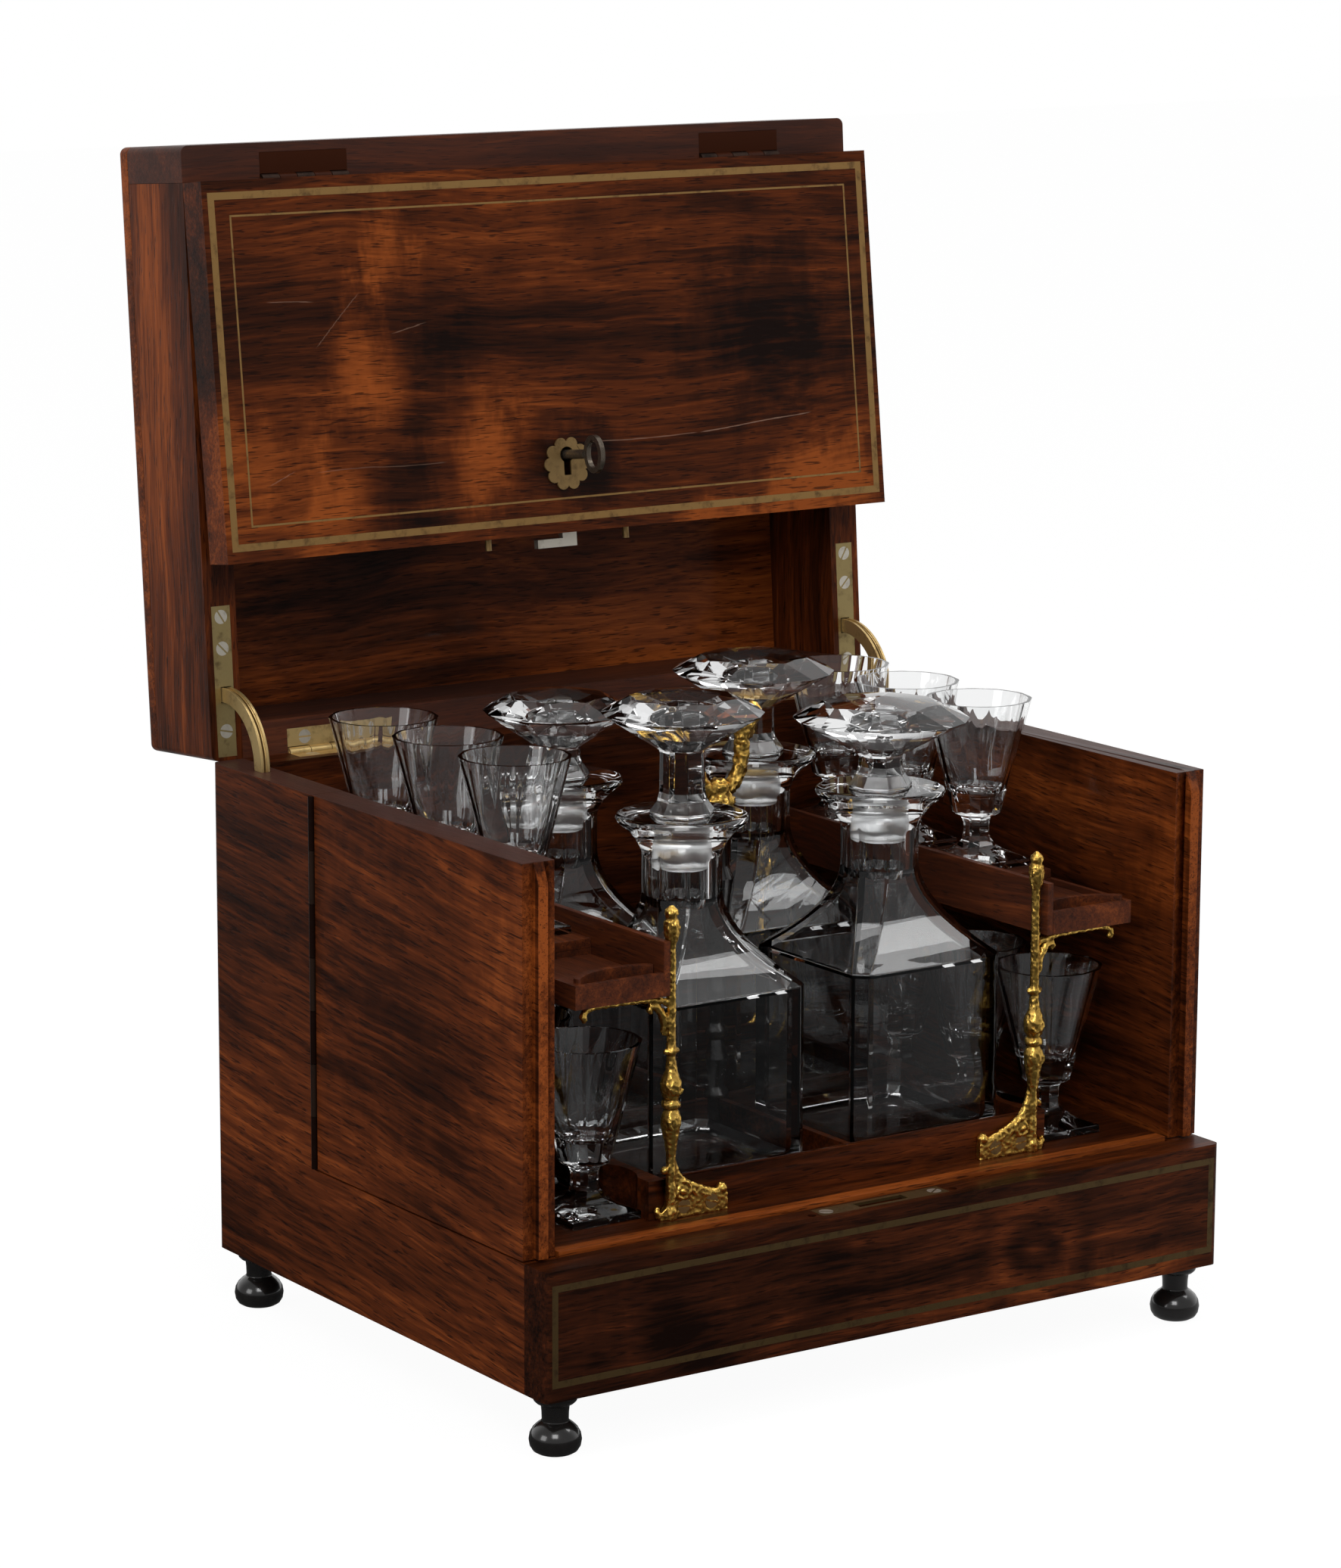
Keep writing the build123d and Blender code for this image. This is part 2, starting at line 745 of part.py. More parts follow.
# Carrier
def build_carrier():
    base_side = inner_side - carrier_gap
    base_front = plinth_back + carrier_front_gap
    base_back = inner_back - carrier_gap
    base = block((-base_side, base_side), (base_front, base_back), (floor_top, carrier_top))
    save("carrier_base", base)

    low, high = carrier_top, carrier_top + partition_height
    rail = block((glass_rail_in, glass_rail_out), (fence_front, -fence_front), (low, high))
    for step in range(glass_rows):
        y = front + glass_from_front + step * glass_pitch
        rail -= Pos(side - glass_to_side, y, (low + high) / 2) * Cylinder(
            glass_rail_arc, partition_height + overrun
        )
    across = (-glass_rail_in, glass_rail_in)
    fence = block(across, (fence_front, -fence_inner), (low, high))
    cross = block(across, around(0, partition), (low, high))
    spine = block(around(0, partition), (-fence_inner, fence_inner), (low, high))
    hub = Cylinder(column_radii[0] + column_gap, partition_height + overrun)
    hub = Pos(0, 0, (low + high) / 2) * hub
    arms = (cross + spine) - hub
    rails = sides(rail) + front_and_back([fence]) + [arms]
    save("carrier_rails", *[cut_all(shape, support_screws()) for shape in rails])


def build_trays():
    tray_front = front + tray_from_front
    span = (tray_front, -tray_front)
    board = block((tray_inner, tray_outer), span, (tray_bottom, tray_top))
    well = block(
        (tray_inner, tray_outer - tray_lip),
        (tray_front + tray_lip, tray_front + tray_lip + tray_well_length),
        (tray_top - tray_well, tray_top + overrun),
    )
    board -= well
    start = (tray_outer - tray_lip, tray_front + tray_arc_start)
    end = (tray_inner, tray_front + tray_arc_start + tray_arc_sag / 2)
    middle = ((start[0] + end[0]) / 2, tray_front + tray_arc_start + tray_arc_sag)
    ledge_line = ThreePointArc(start, middle, end)
    arc_ledge = extrude(trace(ledge_line, tray_arc), tray_arc_rise)
    arc_ledge = (Pos(0, 0, tray_top - tray_well) * arc_ledge) & well
    board += arc_ledge
    rail = block(
        (tray_inner - tray_rail, tray_inner), span, (tray_bottom, tray_bottom + tray_rail_height)
    )
    platform = block(
        (tray_inner, tray_outer - tray_block_gap),
        (tray_front + tray_lip + tray_well_length, -tray_front - tray_block_gap),
        (tray_top, tray_top + tray_block),
    )
    save("tray_boards", *sides(board))
    save("tray_rails", *sides(rail), *sides(platform))


def support_screws():
    """The slotted screws that hold the supports' toes to the partitions."""
    rod_x = side - rod_from_side
    face = fence_front - support_thickness
    screws = [
        Pos(rod_x - place, face, carrier_top + support_screw_rise) * Rot(X=90) * screw(place)
        for place in support_screw_places
    ]
    return [shape for one in screws for shape in front_and_back(sides(one))]


def build_supports():
    rod = turned_steps(rod_radii, rod_heights)
    rod = Pos(0, front + rod_from_front - fence_front + support_thickness / 2, 0) * rod
    knob = Circle(support_knob_radius)
    ramp = list(zip(support_ramp_reaches, support_ramp_heights))
    foot = make_face(
        [
            Line((0, 0), (support_toe, 0)),
            Line((support_toe, 0), (support_toe, support_knob_rise)),
            Line((support_toe, support_knob_rise), ramp[-1]),
            Spline(*reversed(ramp)),
            Line(ramp[0], (0, support_ramp_heights[0])),
            Line((0, support_ramp_heights[0]), (0, 0)),
        ]
    )
    foot += Pos(support_toe - support_knob_radius, support_knob_rise) * knob
    foot += Pos(-support_heel, support_knob_radius) * knob
    foot += Pos(-support_heel / 2, support_knob_radius / 2) * Rectangle(
        support_heel, support_knob_radius
    )
    under = tray_rise - support_arm_height
    arm = Pos(-support_arm / 2, tray_rise - support_arm_height / 2) * Rectangle(
        support_arm, support_arm_height
    )
    arm += Pos(-support_arm, under) * knob
    brace = Circle(support_brace_radius) - Circle(support_brace_radius - support_brace)
    quarter = (support_brace_radius / 2, support_brace_radius / 2)
    brace = brace & (Pos(*quarter) * Rectangle(support_brace_radius, support_brace_radius))
    brace += Pos(0, support_brace_radius - support_brace) * Circle(support_brace)
    brace = Pos(-support_brace_radius, under - support_brace_drop) * brace
    outline = foot + arm + brace
    flat = extrude(Plane.XZ * outline, support_thickness / 2, both=True)
    one = mirror(rod + flat, Plane.YZ)
    one = Pos(side - rod_from_side, fence_front - support_thickness / 2, carrier_top) * one
    screws = support_screws()
    supports = front_and_back(sides(one))
    save("gilt_supports", *[cut_all(shape, screws) for shape in supports])
    save("support_screws", *screws)


def build_column():
    save("column", Pos(0, 0, carrier_top) * turned_steps(column_radii, column_heights))
    boss = turned_steps(handle_boss_radii, handle_boss_heights)
    points = [(reach, 0, height) for reach, height in zip(handle_arm_reaches, handle_arm_heights)]
    path = Spline(*points, tangents=((1, 0, 0), (-1, 0, 0)))
    arm = sweep(Plane(path @ 0, z_dir=path % 0) * Circle(handle_arm_radius), path)
    leaf = Cone(*handle_leaf_radii, handle_leaf_length)
    leaf = Pos(handle_leaf_reach, 0, handle_leaf_rise) * Rot(Y=handle_leaf_lean) * leaf
    grip = boss
    for shape in sides(arm) + sides(leaf):
        grip += shape
    save("handle", Pos(0, 0, carrier_top + column_heights[-1]) * grip)


# Glassware
def glass():
    """A footed cordial glass with a panelled bowl, standing on z = 0."""
    foot = block(around(0, glass_foot), around(0, glass_foot), (0, glass_foot_edge))
    rise = loft(
        [
            Pos(0, 0, glass_foot_edge) * Rectangle(glass_foot, glass_foot),
            Pos(0, 0, glass_foot_height) * Rectangle(2 * glass_stem_radius, 2 * glass_stem_radius),
        ]
    )
    stem = Pos(0, 0, glass_foot_height - arris) * extrude(
        RegularPolygon(glass_stem_radius, 6), glass_stem_top - glass_foot_height + 2 * arris
    )
    collar = loft(
        [
            Pos(0, 0, glass_stem_top) * RegularPolygon(glass_stem_radius, glass_panels),
            Pos(0, 0, glass_bowl_from_foot) * RegularPolygon(glass_bowl_radius, glass_panels),
        ]
    )
    bowl = loft(
        [
            Pos(0, 0, glass_bowl_from_foot) * RegularPolygon(glass_bowl_radius, glass_panels),
            Pos(0, 0, glass_height) * RegularPolygon(glass_rim_radius, glass_panels),
        ]
    )
    slope = (glass_rim_radius - glass_bowl_radius) / (glass_height - glass_bowl_from_foot)
    reach = glass_height - glass_bowl_from_foot - glass_bottom
    shrink = cos(radians(180 / glass_panels))
    mouth = glass_rim_radius * shrink - glass_wall
    cavity = Pos(0, 0, glass_height - reach / 2) * Cone(mouth - slope * reach, mouth, reach)
    return foot + rise + stem + collar + bowl - cavity


def decanter():
    """A square decanter with swept shoulders, standing on z = 0."""

    def section(size, height, cut):
        outline = chamfer(Rectangle(*size).vertices(), cut)
        return Pos(0, 0, height) * outline

    def swept(low_size, top, low, high):
        sections = []
        for step in range(shoulder_steps + 1):
            share = step / shoulder_steps
            spread = (1 - share) ** shoulder_power
            size = [top + (length - top) * spread for length in low_size]
            cut = decanter_chamfer * min(size) / min(low_size)
            sections.append(section(size, low + (high - low) * share, cut))
        return loft(sections)

    outer = (decanter_width, decanter_depth)
    inner = (decanter_width - 2 * decanter_wall, decanter_depth - 2 * decanter_wall)
    body = extrude(section(outer, 0, decanter_chamfer), decanter_shoulder)
    outer_top = 2 * decanter_neck_radius * cos(radians(45))
    body += swept(outer, outer_top, decanter_shoulder, decanter_neck_from_foot)
    neck_low = decanter_neck_from_foot - arris
    lip_low = decanter_height - decanter_lip
    flare_low = lip_low - decanter_flare
    reach = decanter_lip_radius - decanter_neck_radius
    hollow_point = (
        decanter_neck_radius + decanter_flare_share * reach,
        lip_low - decanter_flare_share * decanter_flare,
    )
    body += turned(
        Line((0, neck_low), (decanter_neck_radius, neck_low)),
        Line((decanter_neck_radius, neck_low), (decanter_neck_radius, flare_low)),
        ThreePointArc(
            (decanter_neck_radius, flare_low), hollow_point, (decanter_lip_radius, lip_low)
        ),
        Line((decanter_lip_radius, lip_low), (decanter_lip_radius, decanter_height)),
        Line((decanter_lip_radius, decanter_height), (stopper_flare_radius, decanter_height)),
        Line((stopper_flare_radius, decanter_height), (0, decanter_height)),
        Line((0, decanter_height), (0, neck_low)),
    )
    inner_top = 2 * decanter_bore_radius * cos(radians(45))
    hollow_height = decanter_shoulder - decanter_bottom - arris
    hollow = extrude(section(inner, decanter_bottom, decanter_chamfer), hollow_height)
    hollow += swept(
        inner, inner_top, decanter_shoulder - arris, decanter_neck_from_foot - arris
    )
    bore_low = decanter_neck_from_foot - 2 * arris
    hollow += Pos(0, 0, (bore_low + decanter_height + overrun) / 2) * Cylinder(
        decanter_bore_radius, decanter_height + overrun - bore_low
    )
    return body - hollow


def stopper(girdle_height, girdle_radius):
    """A mushroom stopper whose plug hangs below z = 0, the decanter's lip."""
    plug_radius = decanter_bore_radius - stopper_gap
    plug = Pos(0, 0, -stopper_plug / 2) * Cylinder(plug_radius, stopper_plug)
    waist_low = stopper_flare
    under = girdle_height - stopper_under

    def ring(radius, height):
        return Pos(0, 0, height) * RegularPolygon(radius, stopper_facets)

    steps = (
        (stopper_flare_radius, 0),
        (stopper_waist_radius, waist_low),
        (stopper_waist_radius, under),
        (girdle_radius, girdle_height),
        (girdle_radius, girdle_height + stopper_girdle),
        (girdle_radius * stopper_table_share, girdle_height + stopper_crown),
    )
    shape = plug
    for (radius, height), (next_radius, next_height) in zip(steps, steps[1:]):
        shape += loft([ring(radius, height), ring(next_radius, next_height)])
    return shape


def build_glassware():
    cordial = glass()
    for name, x in (("left", glass_to_side - side), ("right", side - glass_to_side)):
        for index in range(glass_rows):
            y = front + glass_from_front + index * glass_pitch
            save(f"lower_glass_{name}_{index + 1}", Pos(x, y, lower_foot) * cordial)
            if index:
                save(f"upper_glass_{name}_{index + 1}", Pos(x, y, upper_foot) * cordial)
    bottle = decanter()
    lip = lower_foot + decanter_height
    for name, girdle_height, inset in zip(stopper_names, stopper_heights, stopper_insets):
        x = decanter_x if "right" in name else -decanter_x
        y = decanter_y if "back" in name else -decanter_y
        save(f"decanter_{name}", Pos(x, y, lower_foot) * bottle)
        mushroom = stopper(girdle_height, decanter_width / 2 - inset)
        save(f"stopper_{name}", Pos(x, y, lip + glass_gap) * mushroom)


build_case()
build_feet()
build_stays()
build_lid()
build_flap()
build_doors()
build_carrier()
build_trays()
build_supports()
build_column()
build_glassware()
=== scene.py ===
# %% [markdown]
# The imported model of the liqueur cabinet is the fixed frame. It comes in with every board, hinge and bottle in
# its place, in metres, and what follows dresses it: finishes for the boards and the metal, and finer meshes for
# the cut glass, the gilt castings and the eased boards.

import json
from math import atan2, cos, pi, radians, sin, tan

import bmesh
import bpy
from mathutils import Matrix, Vector

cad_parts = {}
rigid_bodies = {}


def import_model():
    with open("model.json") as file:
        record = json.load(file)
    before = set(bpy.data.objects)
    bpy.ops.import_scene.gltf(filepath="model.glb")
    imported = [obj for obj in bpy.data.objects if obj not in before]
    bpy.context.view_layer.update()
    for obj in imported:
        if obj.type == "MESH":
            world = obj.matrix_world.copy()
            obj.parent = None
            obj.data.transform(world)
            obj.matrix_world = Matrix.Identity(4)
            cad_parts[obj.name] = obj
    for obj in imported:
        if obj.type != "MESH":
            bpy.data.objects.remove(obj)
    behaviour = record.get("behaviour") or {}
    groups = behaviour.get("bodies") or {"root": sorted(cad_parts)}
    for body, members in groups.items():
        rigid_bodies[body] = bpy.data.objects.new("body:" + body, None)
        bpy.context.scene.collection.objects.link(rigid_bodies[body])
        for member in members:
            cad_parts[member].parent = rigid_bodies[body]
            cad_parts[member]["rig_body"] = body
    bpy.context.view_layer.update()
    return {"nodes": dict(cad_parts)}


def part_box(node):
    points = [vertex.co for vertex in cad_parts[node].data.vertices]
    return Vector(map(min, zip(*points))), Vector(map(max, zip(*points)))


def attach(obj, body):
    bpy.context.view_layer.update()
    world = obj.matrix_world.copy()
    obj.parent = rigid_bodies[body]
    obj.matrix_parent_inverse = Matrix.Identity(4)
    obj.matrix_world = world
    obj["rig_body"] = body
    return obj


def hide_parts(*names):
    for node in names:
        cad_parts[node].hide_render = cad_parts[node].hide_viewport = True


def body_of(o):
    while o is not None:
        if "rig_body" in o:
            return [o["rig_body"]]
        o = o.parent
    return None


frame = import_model()
nodes = frame["nodes"]
mm = 0.001

# %% [markdown]
# The photograph was taken with a long lens from the front left and a little above the lid's hinge. The camera
# stands where the case's corners fall on their places in the picture: its turn to the right, its fall and its
# small roll are given as angles, and the lens is worked out from them.

# %% Camera
camera_place = Vector((-1141.39, -1666.80, 623.73)) * mm
camera_turn, camera_fall, camera_roll = radians(34.43), radians(11.38), radians(0.23)
sensor_width, lens_length, view_depth = 36, 133.94, 20
bpy.ops.object.camera_add(location=camera_place)
camera = bpy.context.object
camera.rotation_euler = (
    Matrix.Rotation(-camera_turn, 3, "Z")
    @ Matrix.Rotation(pi / 2 - camera_fall, 3, "X")
    @ Matrix.Rotation(camera_roll, 3, "Z")
).to_euler()
camera.data.sensor_fit = "HORIZONTAL"
camera.data.sensor_width = sensor_width
camera.data.lens = lens_length
camera.data.clip_end = view_depth
bpy.context.scene.camera = camera
print("camera", camera.location[:])


# %% [markdown]
# Every finish is a small recipe of nodes, and so are the room and the floor. To write one as plain sums, a wire
# wraps the socket that a value comes out of, and adding or multiplying wires adds the Math node that does it. A
# recipe adds any other kind of node by its type, its settings and what feeds its sockets.

# %% Wires
class Wire:
    """A socket's output that Python can add, subtract, multiply and compare."""

    def __init__(self, recipe, socket):
        self.recipe = recipe
        self.socket = socket

    def other(self, name):
        """Another output of the same node."""
        return Wire(self.recipe, self.socket.node.outputs[name])

    def maths(self, operation, *values):
        return self.recipe.add("ShaderNodeMath", {"operation": operation}, *values)

    def __add__(self, other):
        return self.maths("ADD", self, other)

    def __sub__(self, other):
        return self.maths("SUBTRACT", self, other)

    def __rsub__(self, other):
        return self.maths("SUBTRACT", other, self)

    def __mul__(self, other):
        return self.maths("MULTIPLY", self, other)

    def most(self, other):
        return self.maths("MAXIMUM", self, other)

    def size(self):
        return self.maths("ABSOLUTE", self)

    def sine(self):
        return self.maths("SINE", self)

    __radd__ = __add__
    __rmul__ = __mul__


print("wires ready")


# %% Recipes
class Recipe:
    """A tree of nodes that are added as they are needed."""

    def __init__(self, tree):
        self.tree = tree

    def feed(self, socket, value):
        if isinstance(value, Wire):
            self.tree.links.new(value.socket, socket)
        else:
            socket.default_value = value

    def add(self, kind, settings=None, *values, output=0, **named):
        """A node by its type, with its settings, what its sockets hold in order or by name, and one output."""
        node = self.tree.nodes.new(kind)
        for setting, value in (settings or {}).items():
            if setting == "stops":
                ramp = node.color_ramp
                while len(ramp.elements) < len(value):
                    ramp.elements.new(0.5)
                for stop, (where, colour) in zip(ramp.elements, value):
                    stop.position = where
                    stop.color = (*colour, 1)
            else:
                setattr(node, setting, value)
        for place, value in enumerate(values):
            self.feed(node.inputs[place], value)
        for name, value in named.items():
            self.feed(node.inputs[name.replace("_", " ")], value)
        return Wire(self, node.outputs[output])

    def vectors(self, operation, *values, output=0):
        return self.add("ShaderNodeVectorMath", {"operation": operation}, *values, output=output)

    def between(self, value, low, high, start=0.0, end=1.0):
        """A smooth mask that goes from start, below low, to end, above high."""
        return self.add(
            "ShaderNodeMapRange",
            {"interpolation_type": "SMOOTHSTEP"},
            Value=value,
            From_Min=low,
            From_Max=high,
            To_Min=start,
            To_Max=end,
        )


print("recipes ready")


# %% Finishes
class Finish(Recipe):
    """The recipe of one material, drawn on the places of its piece."""

    def __init__(self, name):
        self.material = bpy.data.materials.new(name)
        self.material.use_nodes = True
        super().__init__(self.material.node_tree)
        self.shader = self.tree.nodes["Principled BSDF"]
        self.place = self.add("ShaderNodeTexCoord", output="Object")

    def noise(self, vector, scale, detail=2.0, roughness=0.5, distortion=0.0):
        return self.add(
            "ShaderNodeTexNoise",
            None,
            Vector=vector,
            Scale=scale,
            Detail=detail,
            Roughness=roughness,
            Distortion=distortion,
        )

    def stretched(self, vector, scales):
        return self.add("ShaderNodeMapping", None, Vector=vector, Scale=scales)

    def drawn(self, vector, scales, detail, roughness, distortion=0.0):
        """A noise with so many waves to the metre along each axis."""
        return self.noise(self.stretched(vector, scales), 1.0, detail, roughness, distortion)

    def gap(self, vector, middle, reaches):
        """How far a place is from a middle, where 1 is as far as the reaches."""
        shrunk = self.vectors("DIVIDE", self.vectors("SUBTRACT", vector, middle), reaches)
        return self.vectors("LENGTH", shrunk, output=1)

    def axis(self, letter):
        """One coordinate of the place, in metres."""
        return self.add("ShaderNodeSeparateXYZ", None, self.place, output="XYZ".index(letter))

    def mix(self, mask, first, second):
        node = self.tree.nodes.new("ShaderNodeMix")
        node.data_type = "RGBA"
        self.feed(node.inputs[0], mask)
        for socket, colour in ((node.inputs[6], first), (node.inputs[7], second)):
            self.feed(socket, colour if isinstance(colour, Wire) else (*colour, 1))
        return Wire(self, node.outputs[2])

    def bumped(self, height, strength, distance):
        self.set(Normal=self.add("ShaderNodeBump", None, Strength=strength, Distance=distance, Height=height))

    def set(self, **sockets):
        for name, value in sockets.items():
            self.feed(self.shader.inputs[name.replace("_", " ")], value)


def dress(names, material):
    """Gives a material to CAD nodes."""
    for name in names:
        materials = nodes[name].data.materials
        materials.clear()
        materials.append(material)


print("finishes ready")

# %% [markdown]
# The studio is a white room. Its world is white to the camera and through glass, and lights the cabinet with a
# weaker, even fill. Metal and glass are drawn by what they mirror, so the mirrored room is grey, and white only
# where a paper sheet hangs, behind and to the right. A wide lamp shines over the front left, and weaker ones from
# the left, the right and above.

# %% The white room
white, mirrored_grey = (1, 1, 1, 1), (0.8, 0.8, 0.8, 1)
fill_strength, paper_strength = 0.42, 1.0
sheet_way = (0.62, 0.75, 0.20)
scene = bpy.context.scene
scene.view_settings.view_transform = "Standard"
scene.world = bpy.data.worlds.new("studio")
scene.world.use_nodes = True
room = Recipe(scene.world.node_tree)
rays = room.add("ShaderNodeLightPath", output="Is Camera Ray")
fill = room.add("ShaderNodeBackground", None, white, fill_strength)
paper = room.add("ShaderNodeBackground", None, white, paper_strength)
seen = room.add("ShaderNodeMixShader", None, rays.most(rays.other("Is Transmission Ray")), fill, paper)
toward_sheet = room.vectors("DOT_PRODUCT", room.add("ShaderNodeTexCoord", output="Generated"), sheet_way, output=1)
sheet_strength = room.between(toward_sheet, 0.0, 0.60, 0.50, 1.1)
mirrored = room.add("ShaderNodeBackground", None, mirrored_grey, sheet_strength)
shown = room.add("ShaderNodeMixShader", None, rays.other("Is Glossy Ray"), seen, mirrored)
room.feed(room.tree.nodes["World Output"].inputs[0], shown)
print("room", len(room.tree.nodes), "nodes")

# %% Lamps
case_middle = Vector((0, 0, 0.2))
lamps = (
    ("lamp_front_left", (-1.1, -1.6, 1.5), 0.9, 15),
    ("lamp_left", (-1.9, -0.2, 0.7), 0.8, 6.5),
    ("lamp_right", (1.15, -0.75, 1.5), 0.45, 2.6),
    ("lamp_top", (0.1, -0.1, 1.9), 0.8, 7),
)
for name, place, width, power in lamps:
    bpy.ops.object.light_add(type="AREA", location=place)
    lamp = bpy.context.object
    lamp.name = name
    lamp.data.size = width
    lamp.data.energy = power
    lamp.rotation_euler = (case_middle - Vector(place)).to_track_quat("-Z", "Y").to_euler()
    print(name, width, "m wide", power, "W")

# %% [markdown]
# Rosewood is nearly black where its growth lines crowd and glows orange where they part. Long fine streaks run
# along the grain, broad flames cross it, and open pores leave short dark scratches. Each is a noise that is
# drawn out along the grain: the flames least, the pores most. The polish is a thin clear coat over the wood.

# %% Tones and scales of the wood
wood_black = (0.0070, 0.0021, 0.0010)
wood_brown = (0.0360, 0.0082, 0.0022)
wood_red = (0.0980, 0.0208, 0.0042)
wood_orange = (0.2750, 0.0640, 0.0110)
wood_plum = (0.0620, 0.0300, 0.0240)
scratch_pale = (0.34, 0.20, 0.14)
wood_tones = ((0.08, wood_black), (0.34, wood_brown), (0.58, wood_red), (0.92, wood_orange))
wood_shine = 0.07
grain_turns = {"X": (0, 0, 0), "Y": (0, 0, pi / 2), "Z": (0, pi / 2, 0)}
flame_scale, ring_scale, streak_scale = (4.5, 15, 15), (7, 110, 110), (26, 620, 620)
pore_scale, torn_scale = (110, 1500, 1500), (60, 60, 26)
board_sway, place_sway = (0.010, 0.022, 0.022), (0.012, 0.012, 0.012)
print("wood tones", wood_tones)


# %% Scratches
def scratch(finish, place, pores, start, end):
    """A mask of a thin scratch that wavers between two places on an upright board, and fades at its ends."""
    half, crisp, waver, taper = 0.30 * mm, 0.08 * mm, 0.30 * mm, 4 * mm
    run = Vector(end) - Vector(start)
    way = run.normalized()
    from_start = finish.vectors("SUBTRACT", place, start)
    along = finish.vectors("DOT_PRODUCT", from_start, way, output=1)
    aside = finish.vectors("DOT_PRODUCT", from_start, (-way.z, 0, way.x), output=1)
    line = 1 - finish.between((aside + pores * (2 * waver) - waver).size(), crisp, half)
    line = line * finish.between(along, 0, taper)
    return line * (1 - finish.between(along, run.length - taper, run.length))


print("scratches ready")


# %% Rosewood
def rosewood(
    name,
    along,
    tone,
    flame,
    gloss,
    *,
    slant=0.0,
    fine=1.0,
    patches=(),
    eyes=(),
    marks=(),
    edge=None,
    fade=0,
    plum_above=None,
):
    """Polished rosewood, its grain along an axis, by its tone, the strength of its flames and its gloss.

    A patch is a place, its three reaches and how much it lifts the tone. An eye is a knot's rings: a place, its
    reaches and how tightly they turn. A mark is a scratch's start, end and strength. Edge paints light and shade
    onto one strip of the board, fade mixes plum in, and above a height the wood is drawn in plum.
    """
    finish = Finish(name)
    lean, tip, turn = grain_turns[along]
    board = finish.add(
        "ShaderNodeMapping", {"vector_type": "TEXTURE"}, Vector=finish.place, Rotation=(lean, tip - slant, turn)
    )
    sway = finish.add("ShaderNodeTexNoise", None, board, Scale=7.0, Detail=2.0, output=1)
    swayed = finish.vectors("MULTIPLY_ADD", sway, board_sway, board)
    swayed_place = finish.vectors("MULTIPLY_ADD", sway, place_sway, finish.place)
    flames = finish.drawn(swayed, flame_scale, 3, 0.5, 0.9)
    rings = finish.drawn(swayed, (ring_scale[0], ring_scale[1] * fine, ring_scale[2] * fine), 4, 0.6, 0.5)
    streaks = finish.drawn(swayed, streak_scale, 3, 0.6, 0.2)
    level = flames * (1.5 * flame) + rings * 0.85 + streaks * 0.7 + (tone - 0.40 - 0.75 * flame)
    torn = finish.drawn(finish.place, torn_scale, 4, 0.6) if patches else None
    for middle, reaches, lift in patches:
        ragged = finish.gap(swayed_place, middle, reaches) + torn * 2.4 + rings * 0.8 - 1.6
        level = level + (1 - finish.between(ragged, 0.1, 1.15)) * lift
    for middle, reaches, rounds in eyes:
        gap = finish.gap(swayed_place, middle, reaches)
        wave = (gap * rounds + flames * 6 + rings * 5 + 2.4).sine()
        level = level + wave * (1 - finish.between(gap, 0.2, 1.0)) * 0.15
    if edge:
        level = edge(finish, level)
    colour = finish.add("ShaderNodeValToRGB", {"stops": wood_tones}, level)
    pores = finish.drawn(board, pore_scale, 1, 0.5)
    open_pores = finish.between(pores, 0.60, 0.68)
    colour = finish.mix(open_pores * 0.7, colour, wood_black)
    if fade:
        colour = finish.mix(fade, colour, wood_plum)
    if plum_above:
        # above this height, along the top edges, the colour is mixed towards plum
        plum_top = finish.between(finish.axis("Z"), plum_above - 0.3 * mm, plum_above)
        colour = finish.mix(plum_top * 0.8, colour, wood_plum)
    for start, end, strength in marks:
        colour = finish.mix(scratch(finish, swayed_place, pores, start, end) * strength, colour, scratch_pale)
    finish.set(
        Base_Color=colour,
        Roughness=0.46 - streaks * 0.12,
        Coat_Weight=0.02 + 0.06 * gloss,
        Coat_Roughness=0.10,
        Specular_IOR_Level=wood_shine,
    )
    finish.bumped(open_pores * -1 + streaks * 0.3, 0.22, 0.3 * mm)
    return finish.material


print("rosewood ready")

# %% [markdown]
# The maker chose each board for its figure: the front has the boldest flames, the sides run calmer with their
# streaks slanting down to the front, and the tops of the rims are crossbanded and drawn in plum. So each
# group of boards has its own cut of the wood, and the flap has its flames where the tree put them.

# %% Places on a board
flap_box, plinth_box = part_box("flap_board"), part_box("plinth_front")
door_low, door_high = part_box("door_right")
wall_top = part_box("side_panels")[1][2]


def spot_on(box, across, up):
    """A place in the middle of a board's thickness, at a share of its width and its height."""
    low, high = box
    return (low[0] + across * (high[0] - low[0]), (low[1] + high[1]) / 2, low[2] + up * (high[2] - low[2]))


def patches_on(box, *patches):
    """Patches by their shares of a board's width and height: middle across, middle up, wide, tall, lift."""
    width, depth, height = (high - low for low, high in zip(*box))
    return [
        (spot_on(box, across, up), (wide * width, 5 * depth, tall * height), lift)
        for across, up, wide, tall, lift in patches
    ]


print("flap", flap_box, "plinth", plinth_box)

